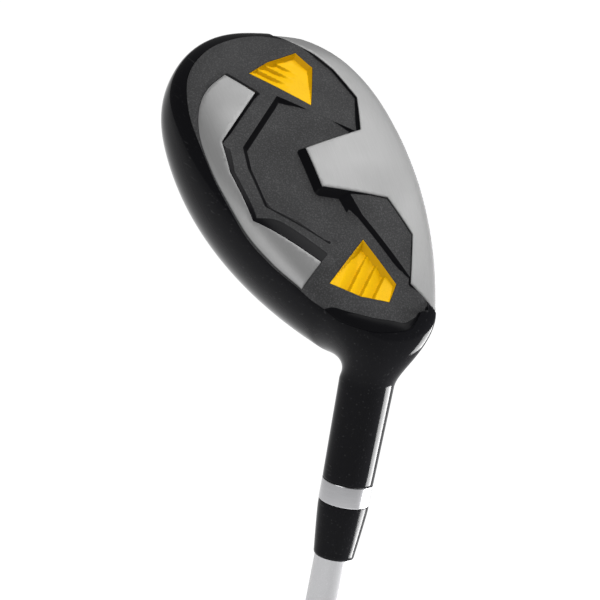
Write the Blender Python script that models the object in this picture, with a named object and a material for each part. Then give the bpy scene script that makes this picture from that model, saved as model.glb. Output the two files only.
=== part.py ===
"""A hybrid golf club, standing on the end of its grip with the head up.

Sizes are in millimetres and are turned into metres as each mesh is made. The grip, the shaft and
the ferrule are turned about the Z axis, with the end of the grip at Z = 0. The head is drawn in
its own frame, as it sits on the ground: U towards the toe, V towards the face and W up, with
U = W = 0 where the shaft's axis meets the ground. An empty turns that frame so that the shaft's
axis stands upright.
"""

import math

import bmesh
import bpy
from mathutils import Vector
from mathutils.bvhtree import BVHTree
from mathutils.geometry import delaunay_2d_cdt

MM = 0.001

# Whole club
CLUB_LENGTH = 838.0        # end of the grip to the ground, along the shaft
LIE_ANGLE = 60.0           # degrees, shaft to ground
LOFT_ANGLE = 25.0          # degrees, face to the vertical
FIT_GAP = 0.3              # left between pieces that touch

# Head, outside
TOE_REACH = 84.6           # shaft axis to the toe end
HEEL_REACH = 16.0          # shaft axis to the heel end
LEAD_REACH = 21.0          # shaft axis forward to the leading edge
BACK_REACH = 38.8          # shaft axis back to the rear of the skirt
HEAD_HEIGHT = 35.0         # ground to the top of the crown
SKIRT_HEIGHT = 11.5        # ground to the widest level of the skirt
TOE_SET_BACK = 3.0         # tip of the toe behind the shaft axis
LEAD_RADIUS = 140.0        # bow of the leading edge
BACK_RADIUS = 70.0         # bow of the back
SOLE_RADIUS = 180.0        # heel-to-toe camber
CROWN_RADIUS = 106.0       # heel-to-toe bow of the crown
SOLE_RISE = 2.1            # rise of the sole at the leading edge
CROWN_DROP = 2.0           # fall of the crown at the top of the face
HEAD_MIDDLE = 37.0         # shaft axis to the lowest and highest sections
BACK_MIDDLE = 48.0         # shaft axis to the deepest section
TOE_ROUND = 30.0           # length of the rounded toe
TOE_ROUND_UP = 14.0        # length over which the toe closes in height
NOSE_LEVEL = 2.0           # leading edge above the sole

# How square each corner of a section is: 2 is a round one
LEAD_SQUARE = 9.0
TOP_SQUARE = 6.5
SKIRT_SQUARE = 2.8
BACK_SQUARE = 2.0
TOE_SQUARE_FRONT = 2.7
TOE_SQUARE_BACK = 2.6
TOE_SQUARE_UP = 2.2

# Hosel, bore and shaft tip, measured up the shaft from the ground
HOSEL_BASE = 30.0
HOSEL_TOP = 55.5
HOSEL_BASE_RADIUS = 6.9
HOSEL_TOP_RADIUS = 6.4
HOSEL_FILLET = 3.7         # between the hosel and the crown
BORE_BOTTOM = 18.0
CAVITY_TURN = 0.34         # how far the cavity runs round towards the hosel
PLUG_BOTTOM = 19.5
PLUG_THICK = 1.6
BAND_LENGTH = 5.2
FERRULE_LENGTH = 14.3
FERRULE_END_RADIUS = 5.15

# Shaft
TIP_RADIUS = 4.7           # 0.370 inch tip
TIP_WALL = 1.3
TIP_STRAIGHT = 130.0       # ground to the start of the taper
BUTT_RADIUS = 7.2
BUTT_WALL = 1.2
TIP_WEIGHT_LENGTH = 18.0

# Grip
GRIP_LENGTH = 240.0
GRIP_BUTT_RADIUS = 12.3
GRIP_MOUTH_RADIUS = 8.7
GRIP_LIP = 0.5             # raised ring at the mouth
GRIP_LIP_LENGTH = 4.0
CAP_RADIUS = 12.9
CAP_THICK = 3.2
CAP_CHAMFER = 1.0
VENT_RADIUS = 1.2
TAPE_THICK = 0.3
TAPE_INSET = 6.0           # tape stops short of both ends of the grip

# Head walls and plates
SHELL_WALL = 2.2
SOLE_THICK = 4.4           # sole plate in the middle
SOLE_RIM = 2.7             # sole plate at its edge
CHIN = 3.0                 # casting left behind the leading edge
PLATE_THICK = 1.2          # brushed plates
FACE_THICK = 2.8
INLAY_DEPTH = 1.3          # hollow of an inlay at its deep end
INLAY_FLOOR = 0.8
EDGE_INSET = 0.5           # brushed plate behind the tip of the leading edge
PAD_HEIGHT = 4.5
BEAD_HEIGHT = 2.6

# Relief of the sole, as depths below the brushed plates
FIELD_DEPTH = 1.3
FIELD_RAMP = 9.5           # field sinks over this distance from its edge
BASIN_DEPTH = 2.4
BASIN_CLIMB_ALONG = (42.0, 51.0)     # towards the toe and the face the basin's floor
BASIN_CLIMB_ACROSS = (-13.0, -2.0)   # climbs to the field, between these lines
PANEL_DEPTH = 0.45
BACK_WALL_SLOPE = 0.5      # walls beside the rear plate
FRONT_WALL_SLOPE = 1.7     # walls beside the front plate
BASIN_WALL_SLOPE = 0.75
PANEL_WALL_SLOPE = 0.75
INLAY_WALL_SLOPE = 1.6
HEEL_WALL_WIDTH = 3.6      # wall between the field and the neck
HEEL_WALL_START = -4.5     # shaft axis to the start of that wall
HEEL_WALL_BLEND = 4.0

# Score lines of the face
SCORE_COUNT = 7
SCORE_PITCH = 2.7
SCORE_WIDTH = 0.8
SCORE_DEPTH = 0.4
SCORE_START = 10.0         # lowest line above the ground
SCORE_HEEL = 12.0
SCORE_TOE = 60.0

# Outlines, in percent: along the head from heel to toe, and across it from back to front
SOLE_EDGE = [(7.5, 80.0), (3.4, 74.0), (2.4, 65.0), (2.8, 55.0), (5.9, 43.3), (10.9, 34.8),
             (15.5, 29.0), (23.5, 20.0), (33.3, 11.9), (45.1, 6.3), (54.6, 4.3), (64.0, 3.9),
             (70.0, 4.9), (76.0, 7.4), (81.0, 11.0), (86.0, 17.5), (91.1, 28.5), (94.9, 44.0),
             (96.0, 54.0)]
REAR_TOE_CORNER = (79.5, 25.6)
REAR_INNER = [(72.7, 35.1), (57.6, 11.9), (48.4, 11.2), (34.3, 15.3), (20.5, 38.5)]
REAR_OUTER = [(15.5, 29.6), (23.5, 20.6), (33.3, 12.5), (45.1, 6.9), (54.6, 4.9), (62.4, 5.4),
              (69.5, 9.0), (75.0, 15.4), REAR_TOE_CORNER]
FRONT_INNER = [(96.8, 61.5), (94.9, 64.9), (88.4, 74.1), (82.8, 79.3), (72.8, 83.9), (61.2, 78.1),
               (54.2, 47.8), (42.3, 49.0), (39.7, 78.9), (29.2, 85.8), (15.1, 78.3), (8.6, 88.1)]
BASIN = [(72.8, 46.2), (55.8, 20.7), (49.3, 19.6), (37.7, 21.7), (24.6, 48.5), (31.6, 61.2),
         (39.8, 64.9), (61.2, 78.1), (66.5, 62.4)]
PANEL = [(40.3, 61.5), (40.2, 79.8), (29.8, 87.0), (16.5, 79.5), (34.3, 64.0)]
TOE_INLAY = [(80.9, 38.6), (85.2, 50.0), (88.9, 65.7), (84.0, 70.6), (69.9, 60.5)]
HEEL_INLAY = [(15.4, 41.0), (27.5, 61.7), (15.4, 72.1), (10.4, 66.7), (11.8, 54.0)]
WEIGHT_PAD = [(50.0, 16.0), (72.0, 16.0), (72.0, 32.0), (50.0, 32.0)]
MELT_BEAD = [(48.0, 66.0), (54.0, 62.0), (62.0, 63.0), (64.0, 69.0), (57.0, 74.0), (50.0, 72.0)]
# Face, in percent: along the head, and of its height
FACE_EDGE = [(15.0, 30.0), (13.0, 42.0), (20.0, 62.0), (40.0, 78.0), (61.0, 80.0), (78.0, 71.0),
             (88.0, 56.0), (89.5, 42.0), (85.0, 28.0), (70.0, 21.0), (45.0, 19.5), (25.0, 22.0)]

SEGMENTS = 28
GRID = 3.2                 # spacing of the inner points of a plate
MERGE = 0.02               # points of a plate closer than this become one
WELD = 0.01                # and points of a finished casting
SHARP_ANGLE = math.radians(32.0)

LIE = math.radians(LIE_ANGLE)
LOFT = math.radians(LOFT_ANGLE)
LOFT_SLOPE = math.tan(LOFT)
BAND_TOP = HOSEL_TOP + FIT_GAP + BAND_LENGTH
FERRULE_TOP = BAND_TOP + FIT_GAP + FERRULE_LENGTH
TIP_END = PLUG_BOTTOM + PLUG_THICK + FIT_GAP


# ---------------------------------------------------------------- numbers

def mix(first, second, share):
    return first + (second - first) * share


def bounded(value):
    return max(0.0, min(1.0, value))


def ease(share):
    return share * share * (3.0 - 2.0 * share)


def bow(position, middle, radius):
    """Height of a shallow arc away from its middle."""
    return (position - middle) ** 2 / (2.0 * radius)


def run_out(distance, length, square):
    """Share of the full size at a distance from a rounded end."""
    if distance >= length:
        return 1.0
    return (1.0 - (1.0 - distance / length) ** square) ** (1.0 / square)


def place(point):
    """(U, V) of a point given in percent of the head's length and depth."""
    along, across = point
    return Vector((mix(-HEEL_REACH, TOE_REACH, along / 100.0),
                   mix(-BACK_REACH, LEAD_REACH, across / 100.0)))


def shaft_point(up, across=0.0):
    """(U, W) of a point up the shaft's axis, and across it towards the toe."""
    return (-up * math.cos(LIE) + across * math.sin(LIE),
            up * math.sin(LIE) + across * math.cos(LIE))


# ---------------------------------------------------------------- outlines

def smooth_curve(points, spacing, closed=False):
    """Points along a curve through the given ones."""
    count = len(points)
    spans = count if closed else count - 1
    curve = []
    for index in range(spans):
        p1 = points[index]
        p2 = points[(index + 1) % count]
        p0 = points[index - 1] if closed or index > 0 else p1
        p3 = points[(index + 2) % count] if closed or index + 2 < count else p2
        steps = max(1, round((p2 - p1).length / spacing))
        for step in range(steps):
            t = step / steps
            curve.append(0.5 * (2 * p1 + (p2 - p0) * t + (2 * p0 - 5 * p1 + 4 * p2 - p3) * t ** 2
                                + (3 * p1 - p0 - 3 * p2 + p3) * t ** 3))
    if not closed:
        curve.append(points[-1])
    return curve


def straight_run(points, spacing, closed=True):
    """The same corners, with points between them no further apart than the spacing."""
    run = []
    count = len(points)
    for index in range(count if closed else count - 1):
        start = points[index]
        end = points[(index + 1) % count]
        steps = max(1, round((end - start).length / spacing))
        run += [start.lerp(end, step / steps) for step in range(steps)]
    if not closed:
        run.append(points[-1])
    return run


def counter_clockwise(outline):
    area = sum(a.cross(b) for a, b in zip(outline, outline[1:] + outline[:1]))
    return outline if area > 0 else outline[::-1]


def grown(outline, distance):
    """The outline moved outwards, with mitred corners. A negative distance moves it inwards."""
    outline = counter_clockwise(outline)
    moved = []
    for index, point in enumerate(outline):
        before = (point - outline[index - 1]).normalized()
        after = (outline[(index + 1) % len(outline)] - point).normalized()
        normal = Vector((before.y + after.y, -before.x - after.x)).normalized()
        reach = max(0.4, normal.dot(Vector((before.y, -before.x))))
        moved.append(point + normal * distance / reach)
    return moved


def depth_inside(point, outline):
    """Distance to the outline, positive inside it and negative outside."""
    nearest = math.inf
    inside = False
    for start, end in zip(outline, outline[1:] + outline[:1]):
        run = end - start
        share = bounded((point - start).dot(run) / run.length_squared)
        nearest = min(nearest, (point - start - run * share).length)
        if (start.y > point.y) != (end.y > point.y):
            if point.x < start.x + (point.y - start.y) * run.x / run.y:
                inside = not inside
    return nearest if inside else -nearest


# ---------------------------------------------------------------- shape of the head

PIVOT = shaft_point(HOSEL_BASE, HOSEL_BASE_RADIUS + HOSEL_FILLET)


def head_section(along, turn, count, wall=0.0):
    """Closed outline of one section of the head, as (U, V, W) points, set in by a wall.

    Up to the heel a section stands upright at U = along. From there the sections fan about
    PIVOT, as turn goes from 0 to 1, and round off into the hosel.
    """
    blend = ease(turn)
    hosel_level = PIVOT[1] - HOSEL_BASE_RADIUS - HOSEL_FILLET
    from_toe = TOE_REACH - wall - along
    height_share = run_out(from_toe, TOE_ROUND_UP, TOE_SQUARE_UP)
    past_heel = along - HEEL_REACH * turn
    front = LEAD_REACH - wall / math.cos(LOFT) - bow(past_heel, HEAD_MIDDLE, LEAD_RADIUS)
    front = mix(-TOE_SET_BACK, front, run_out(from_toe, TOE_ROUND, TOE_SQUARE_FRONT))
    front = mix(front, HOSEL_BASE_RADIUS, blend ** 1.5)
    back = bow(past_heel, BACK_MIDDLE, BACK_RADIUS) - BACK_REACH + wall
    back = mix(-TOE_SET_BACK, back, run_out(from_toe, TOE_ROUND, TOE_SQUARE_BACK))
    back = mix(back, -HOSEL_BASE_RADIUS, ease(turn ** 0.75))
    low = mix(SKIRT_HEIGHT, bow(along, HEAD_MIDDLE, SOLE_RADIUS) + wall, height_share)
    low = mix(low, hosel_level - HOSEL_BASE_RADIUS, blend)
    high = HEAD_HEIGHT - wall - bow(along, HEAD_MIDDLE, CROWN_RADIUS)
    high = mix(SKIRT_HEIGHT, high, height_share)
    high = mix(high, hosel_level + HOSEL_BASE_RADIUS, blend)
    level = mix(SKIRT_HEIGHT, hosel_level, blend)
    body_share = (1.0 - blend) * height_share
    centre = (front + back) / 2
    nose = low + SOLE_RISE * body_share + NOSE_LEVEL
    points = []
    for index in range(count):
        theta = 2.0 * math.pi * (index + 0.5) / count
        forward = math.cos(theta) > 0
        upward = math.sin(theta) > 0
        if forward:
            square = TOP_SQUARE if upward else LEAD_SQUARE
        else:
            square = BACK_SQUARE if upward else SKIRT_SQUARE
        square = 1.0 / mix(1.0 / square, 0.5, blend)
        across = abs(math.cos(theta)) ** (2.0 / square)
        rise = abs(math.sin(theta)) ** (2.0 / square)
        v = mix(centre, front if forward else back, across)
        h = mix(level, high if upward else low, rise)
        if forward:
            bend = -CROWN_DROP if upward else SOLE_RISE
            h += bend * body_share * across ** 2 * rise
            v -= LOFT_SLOPE * body_share * (h - nose) * across
        reach = PIVOT[1] - h
        if turn > 0:
            angle = turn * LIE
            points.append(Vector((PIVOT[0] - reach * math.sin(angle), v,
                                  PIVOT[1] - reach * math.cos(angle))))
        else:
            points.append(Vector((along, v, h)))
    return points


def head_rings(count, toe_steps, body_steps, fan_steps, last_turn=1.0, wall=0.0):
    """Sections from the toe round to the foot of the hosel."""
    rings = []
    for step in range(1, toe_steps + 1):
        from_toe = wall + TOE_ROUND * (1.0 - math.cos(math.pi / 2 * step / toe_steps))
        rings.append(head_section(TOE_REACH - from_toe, 0.0, count, wall))
    for step in range(1, body_steps + 1):
        along = mix(TOE_REACH - TOE_ROUND - wall, PIVOT[0], step / body_steps)
        rings.append(head_section(along, 0.0, count, wall))
    for step in range(1, fan_steps + 1):
        rings.append(head_section(PIVOT[0], last_turn * step / fan_steps, count, wall))
    return rings


def skin(rings, wall=0.0):
    """Vertices and faces of a closed body through the rings, pointed at the toe."""
    count = len(rings[0])
    vertices = [Vector((TOE_REACH - wall, -TOE_SET_BACK, SKIRT_HEIGHT))]
    faces = []
    for ring in rings:
        vertices += ring
    for index in range(count):
        follow = (index + 1) % count
        faces.append((0, 1 + index, 1 + follow))
        for level in range(len(rings) - 1):
            start = 1 + level * count
            faces.append((start + index, start + count + index,
                          start + count + follow, start + follow))
    last = 1 + (len(rings) - 1) * count
    faces.append(tuple(range(last, last + count)))
    return vertices, faces


def hosel_rings(ring):
    """The foot of the hosel carried up to its top."""
    direction = Vector((-math.cos(LIE), 0.0, math.sin(LIE)))
    foot = direction * HOSEL_BASE
    share = HOSEL_TOP_RADIUS / HOSEL_BASE_RADIUS
    return [[direction * HOSEL_TOP + (point - foot) * share for point in ring]]


class HeadSurface:
    """Looks up the outside of the head from below and from the front."""

    def __init__(self):
        rings = head_rings(96, 16, 18, 14)
        vertices, faces = skin(rings)
        self.tree = BVHTree.FromPolygons(vertices, faces)

    def under(self, point):
        """W of the underside at (U, V). Past the edge, the height at the edge."""
        middle = Vector((HEAD_MIDDLE, 0.0))
        for step in range(200):
            spot = point.lerp(middle, step / 200)
            hit = self.tree.ray_cast(Vector((spot.x, spot.y, -50.0)), Vector((0, 0, 1)))[0]
            if hit is not None and hit.z < SKIRT_HEIGHT + 4.0:
                return hit.z
        raise ValueError("no underside near this point")

    def face(self, point):
        """V of the face at (U, W)."""
        start = Vector((point.x, 80.0, point.y))
        return self.tree.ray_cast(start, Vector((0, -1, 0)))[0].y


HEAD = HeadSurface()


def lead_curve(spacing, inset):
    """(U, V) along the tip of the leading edge, from heel to toe, set in a little."""
    count = 96
    low_front = range(count * 3 // 4, count)
    tips = []
    sections = [(PIVOT[0], turn) for turn in (0.16, 0.08)]
    steps = round((TOE_REACH - PIVOT[0]) / spacing)
    for step in range(steps):
        sections.append((mix(PIVOT[0], TOE_REACH - 1.6, (step / steps) ** 0.85), 0.0))
    for along, turn in sections:
        ring = head_section(along, turn, count)
        tip = max((ring[index] for index in low_front), key=lambda point: point.y)
        tips.append(Vector((tip.x, tip.y - inset)))
    return tips


# ---------------------------------------------------------------- outlines of the plates

REAR_PLATE = counter_clockwise([place(p) for p in REAR_INNER + REAR_OUTER])
FRONT_BACK = [place(p) for p in FRONT_INNER]
FRONT_PLATE = counter_clockwise(
    FRONT_BACK + [p for p in lead_curve(6.0, EDGE_INSET)
                  if FRONT_BACK[-1].x < p.x < FRONT_BACK[0].x])
SOLE_OPENING = counter_clockwise(
    smooth_curve([place(p) for p in SOLE_EDGE], GRID)
    + [p for p in lead_curve(5.0, CHIN)[::-1]
       if place(SOLE_EDGE[0]).x < p.x < place(SOLE_EDGE[-1]).x - CHIN])
SOLE_PLATE = grown(SOLE_OPENING, -FIT_GAP)
FRONT_LINES = [grown(FRONT_PLATE, -step) for step in (0.8, 1.7)]
REAR_LINES = [grown(REAR_PLATE, -step) for step in (1.5, 3.0)]
BASIN_EDGE = counter_clockwise([place(p) for p in BASIN])
PANEL_EDGE = counter_clockwise([place(p) for p in PANEL])
TOE_INLAY_EDGE = [place(p) for p in TOE_INLAY]
HEEL_INLAY_EDGE = [place(p) for p in HEEL_INLAY]
PLATE_SEATS = [grown(outline, FIT_GAP / 2) for outline in (FRONT_PLATE, REAR_PLATE)]
INLAY_SEATS = [grown(outline, FIT_GAP / 2) for outline in (TOE_INLAY_EDGE, HEEL_INLAY_EDGE)]
FACE_PLATE = smooth_curve(
    [Vector((place((along, 0.0)).x, HEAD_HEIGHT * height / 100.0)) for along, height in FACE_EDGE],
    GRID, closed=True)


def share_between(value, limits):
    return ease(bounded((value - limits[0]) / (limits[1] - limits[0])))


def field_depth(point):
    """Depth of the textured field, which sinks gently from the toe and by a wall at the heel."""
    edge = depth_inside(point, SOLE_OPENING)
    gentle = ease(bounded(edge / FIELD_RAMP))
    walled = bounded(edge / HEEL_WALL_WIDTH)
    return FIELD_DEPTH * mix(gentle, walled, bounded((HEEL_WALL_START - point.x) / HEEL_WALL_BLEND))


def relief_depth(point):
    """Depth of the sole below its outer skin, with the plates in place."""
    depth = field_depth(point)
    basin = depth_inside(point, BASIN_EDGE)
    if basin > 0:
        climb = (share_between(point.x, BASIN_CLIMB_ALONG)
                 * share_between(point.y, BASIN_CLIMB_ACROSS))
        depth = min(mix(BASIN_DEPTH, depth, climb), depth + basin * BASIN_WALL_SLOPE)
    panel = -depth_inside(point, PANEL_EDGE)
    depth = min(depth, PANEL_DEPTH + max(0.0, panel) * PANEL_WALL_SLOPE)
    rear = -depth_inside(point, REAR_PLATE)
    depth = min(depth, max(0.0, rear) * BACK_WALL_SLOPE)
    front = -depth_inside(point, FRONT_PLATE)
    return min(depth, max(0.0, front) * FRONT_WALL_SLOPE)


def inlay_depth(point, outline):
    """Depth of an inlay's hollow below the field.

    The floor climbs to the edge that joins the outline's last and first corners. Its other
    sides are walls.
    """
    corner = outline[0]
    edge = (outline[-1] - corner).normalized()
    climb = Vector((-edge.y, edge.x))
    if climb.dot(outline[2] - corner) < 0:
        climb = -climb
    far = max((p - corner).dot(climb) for p in outline)
    share = bounded((point - corner).dot(climb) / far)
    depth = INLAY_DEPTH * share
    wall = max(0.0, depth_inside(point, counter_clockwise(outline)))
    return min(depth, wall * INLAY_WALL_SLOPE)


def seated(point, depth):
    """The relief, with the seats of the brushed plates and the inlays sunk into it."""
    if any(depth_inside(point, outline) > -MERGE for outline in PLATE_SEATS):
        return PLATE_THICK + FIT_GAP
    if any(depth_inside(point, outline) > -MERGE for outline in INLAY_SEATS):
        return field_depth(point) + INLAY_DEPTH + INLAY_FLOOR + FIT_GAP
    return depth


# ---------------------------------------------------------------- meshes

def material(name, color, metallic, roughness):
    made = bpy.data.materials.new(name)
    made.use_nodes = True
    shader = made.node_tree.nodes["Principled BSDF"]
    shader.inputs["Base Color"].default_value = (*color, 1.0)
    shader.inputs["Metallic"].default_value = metallic
    shader.inputs["Roughness"].default_value = roughness
    made.diffuse_color = (*color, 1.0)
    return made


def mesh_object(name, vertices, faces, finish, parent=None):
    mesh = bpy.data.meshes.new(name)
    build = bmesh.new()
    corners = [build.verts.new(Vector(vertex) * MM) for vertex in vertices]
    for face in faces:
        build.faces.new([corners[index] for index in face])
    spare = [corner for corner in corners if not corner.link_faces]
    bmesh.ops.delete(build, geom=spare, context="VERTS")
    bmesh.ops.recalc_face_normals(build, faces=build.faces)
    build.to_mesh(mesh)
    build.free()
    mesh.shade_smooth()
    mesh.set_sharp_from_angle(angle=SHARP_ANGLE)
    made = bpy.data.objects.new(name, mesh)
    bpy.context.scene.collection.objects.link(made)
    made.parent = parent
    if finish is not None:
        mesh.materials.append(finish)
    return made


def cutter(name, vertices, faces, parent=None):
    made = mesh_object(name, vertices, faces, None, parent)
    made.hide_render = True
    made.display_type = "WIRE"
    return made


def cut(target, tool):
    modifier = target.modifiers.new(tool.name, "BOOLEAN")
    modifier.operation = "DIFFERENCE"
    modifier.object = tool
    modifier.solver = "EXACT"


def turned(name, profile, finish):
    """A ring turned about Z from (radius, Z) points that run down the outside and up the bore."""
    mesh = bpy.data.meshes.new(name)
    vertices = [(radius * MM, 0.0, level * MM) for radius, level in profile]
    count = len(vertices)
    closed = min(radius for radius, level in profile) > 0
    edges = [(index, index + 1) for index in range(count - 1)]
    if closed:
        edges.append((count - 1, 0))
    mesh.from_pydata(vertices, edges, [])
    if finish is not None:
        mesh.materials.append(finish)
    made = bpy.data.objects.new(name, mesh)
    bpy.context.scene.collection.objects.link(made)
    screw = made.modifiers.new("Turn", "SCREW")
    screw.steps = SEGMENTS
    screw.render_steps = SEGMENTS
    screw.use_merge_vertices = True
    screw.merge_threshold = 0.00001
    screw.use_smooth_shade = True
    return made


def inner_steps(guide, outline):
    """The steps of a closed guide line that lie at least partly inside an outline."""
    inside = [depth_inside(point, outline) > 0 for point in guide]
    count = len(guide)
    return [(index, (index + 1) % count) for index in range(count)
            if inside[index] or inside[(index + 1) % count]]


def slab(outline, guides, low, high, spacing=GRID):
    """Vertices and faces of a plate over a plan outline, between two surfaces.

    low and high turn a plan point into a point of either face. The guides are closed lines that
    the triangles must follow.
    """
    outline = counter_clockwise(straight_run(outline, spacing))
    points = list(outline)
    edges = []
    for guide in guides:
        guide = straight_run(guide, spacing)
        start = len(points)
        edges += [(start + a, start + b) for a, b in inner_steps(guide, outline)]
        points += guide
    placed = list(points)
    left = min(p.x for p in outline)
    near = min(p.y for p in outline)
    columns = int((max(p.x for p in outline) - left) / spacing) + 1
    rows = int((max(p.y for p in outline) - near) / spacing) + 1
    for row in range(rows):
        for column in range(columns):
            shift = 0.25 + 0.5 * (row % 2)
            point = Vector((left + (column + shift) * spacing, near + (row + 0.5) * spacing))
            if depth_inside(point, outline) > spacing * 0.4:
                if all((point - other).length > spacing * 0.5 for other in placed):
                    points.append(point)
    border = list(range(len(outline)))
    flat, _, triangles = delaunay_2d_cdt(points, edges, [border], 1, MERGE)[:3]
    count = len(flat)
    vertices = [low(p) for p in flat] + [high(p) for p in flat]
    faces = []
    sides = set()
    for a, b, c in triangles:
        if depth_inside((flat[a] + flat[b] + flat[c]) / 3, outline) <= 0:
            continue
        if (flat[b] - flat[a]).cross(flat[c] - flat[a]) < 0:
            b, c = c, b
        faces.append((a, c, b))
        faces.append((a + count, b + count, c + count))
        sides |= {(a, b), (b, c), (c, a)}
    faces += [(a, b, b + count, a + count) for a, b in sorted(sides) if (b, a) not in sides]
    return vertices, faces


def sole_level(depth_at):
    """A surface that follows the underside of the head at a depth inside it."""
    return lambda p: Vector((p.x, p.y, HEAD.under(p) + depth_at(p)))


def sole_thickness(point):
    edge = depth_inside(point, SOLE_OPENING)
    return mix(SOLE_RIM, SOLE_THICK, bounded((edge - 2.0) / 4.0))


# ---------------------------------------------------------------- head pieces

def make_head_shell(finish, frame):
    rings = head_rings(40, 7, 8, 8)
    shell = mesh_object("head_shell", *skin(rings + hosel_rings(rings[-1])), finish, frame)
    inside = head_rings(28, 6, 6, 2, CAVITY_TURN, SHELL_WALL)
    cut(shell, cutter("cavity", *skin(inside, SHELL_WALL), frame))
    below = lambda p: Vector((p.x, p.y, -BACK_REACH))
    sole = slab(SOLE_OPENING, [], below, sole_level(lambda p: SOLE_THICK + FIT_GAP), 8.0)
    cut(shell, cutter("sole_opening", *sole, frame))
    ahead = LEAD_REACH + CHIN
    beyond = TOE_REACH + CHIN
    seat = grown(FRONT_BACK + [Vector((FRONT_BACK[-1].x, ahead)), Vector((beyond, ahead)),
                               Vector((beyond, FRONT_BACK[0].y))], FIT_GAP)
    front = slab(seat, [FRONT_PLATE] + FRONT_LINES, below,
                 sole_level(lambda p: PLATE_THICK + FIT_GAP), 5.0)
    cut(shell, cutter("front_seat", *front, frame))
    face = slab(grown(FACE_PLATE, FIT_GAP), [], lambda p: Vector((p.x, LEAD_REACH + CHIN, p.y)),
                lambda p: Vector((p.x, HEAD.face(p) - FACE_THICK - SHELL_WALL, p.y)), 8.0)
    cut(shell, cutter("face_opening", *face, frame))
    radius = TIP_RADIUS + FIT_GAP
    top = from_ground(BORE_BOTTOM)
    end = from_ground(HOSEL_TOP + CHIN)
    bore = turned("hosel_bore", [(0.0, top), (radius, top), (radius, end), (0.0, end)], None)
    bore.hide_render = True
    bore.display_type = "WIRE"
    cut(shell, bore)
    weld = shell.modifiers.new("Weld", "WELD")
    weld.merge_threshold = WELD * MM


def make_sole_plate(finish, frame):
    guides = [grown(REAR_PLATE, FIELD_DEPTH / BACK_WALL_SLOPE),
              grown(FRONT_PLATE, BASIN_DEPTH / FRONT_WALL_SLOPE),
              BASIN_EDGE, grown(BASIN_EDGE, (FIELD_DEPTH - BASIN_DEPTH) / BASIN_WALL_SLOPE),
              PANEL_EDGE, grown(PANEL_EDGE, (BASIN_DEPTH - PANEL_DEPTH) / PANEL_WALL_SLOPE),
              grown(SOLE_OPENING, -HEEL_WALL_WIDTH)]
    for outline in (REAR_PLATE, FRONT_PLATE, TOE_INLAY_EDGE, HEEL_INLAY_EDGE):
        guides.append(grown(outline, FIT_GAP))
    guides += PLATE_SEATS + INLAY_SEATS + REAR_LINES
    plate = slab(SOLE_PLATE, guides, sole_level(lambda p: seated(p, relief_depth(p))),
                 sole_level(sole_thickness))
    return mesh_object("sole_plate", *plate, finish, frame)


def make_brushed_plate(name, outline, guides, finish, frame):
    plate = slab(outline, guides, sole_level(lambda p: 0.0), sole_level(lambda p: PLATE_THICK))
    return mesh_object(name, *plate, finish, frame)


def make_inlay(name, outline, finish, frame):
    guides = [grown(outline, -INLAY_DEPTH / INLAY_WALL_SLOPE)]
    plate = slab(outline, guides,
                 sole_level(lambda p: field_depth(p) + inlay_depth(p, outline)),
                 sole_level(lambda p: field_depth(p) + INLAY_DEPTH + INLAY_FLOOR), 3.0)
    return mesh_object(name, *plate, finish, frame)


def score_depth(point):
    if not SCORE_HEEL <= point.x <= SCORE_TOE:
        return 0.0
    line = round((point.y - SCORE_START) / SCORE_PITCH)
    if not 0 <= line < SCORE_COUNT:
        return 0.0
    offset = abs(point.y - SCORE_START - line * SCORE_PITCH)
    return SCORE_DEPTH * max(0.0, 1.0 - offset / (SCORE_WIDTH / 2))


def make_face_plate(finish, frame):
    guides = []
    for line in range(SCORE_COUNT):
        level = SCORE_START + line * SCORE_PITCH
        half = SCORE_WIDTH / 2
        guides.append([Vector((SCORE_HEEL, level - half)), Vector((SCORE_TOE, level - half)),
                       Vector((SCORE_TOE, level + half)), Vector((SCORE_HEEL, level + half))])
        guides.append([Vector((SCORE_HEEL + half, level)), Vector((SCORE_TOE - half, level))])
    plate = slab(FACE_PLATE, guides,
                 lambda p: Vector((p.x, HEAD.face(p) - score_depth(p), p.y)),
                 lambda p: Vector((p.x, HEAD.face(p) - FACE_THICK, p.y)), 6.0)
    return mesh_object("face_plate", *plate, finish, frame)


def make_block(name, outline, height, finish, frame):
    """A piece that sits on the inside of the sole plate, with a rounded top."""
    outline = [place(p) for p in outline]

    def top(point):
        edge = max(0.0, depth_inside(point, counter_clockwise(outline)))
        return SOLE_THICK + FIT_GAP + height * (0.5 + 0.5 * bounded(edge / height))

    block = slab(outline, [], sole_level(lambda p: SOLE_THICK + FIT_GAP), sole_level(top), 4.0)
    return mesh_object(name, *block, finish, frame)


# ---------------------------------------------------------------- turned pieces

def from_ground(up):
    """Z of a point up the shaft from the ground."""
    return CLUB_LENGTH - up


def shaft_radius(level):
    """Outer radius of the shaft at a height above the end of the grip."""
    straight = from_ground(TIP_STRAIGHT)
    return mix(BUTT_RADIUS, TIP_RADIUS, bounded(level / straight))


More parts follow.
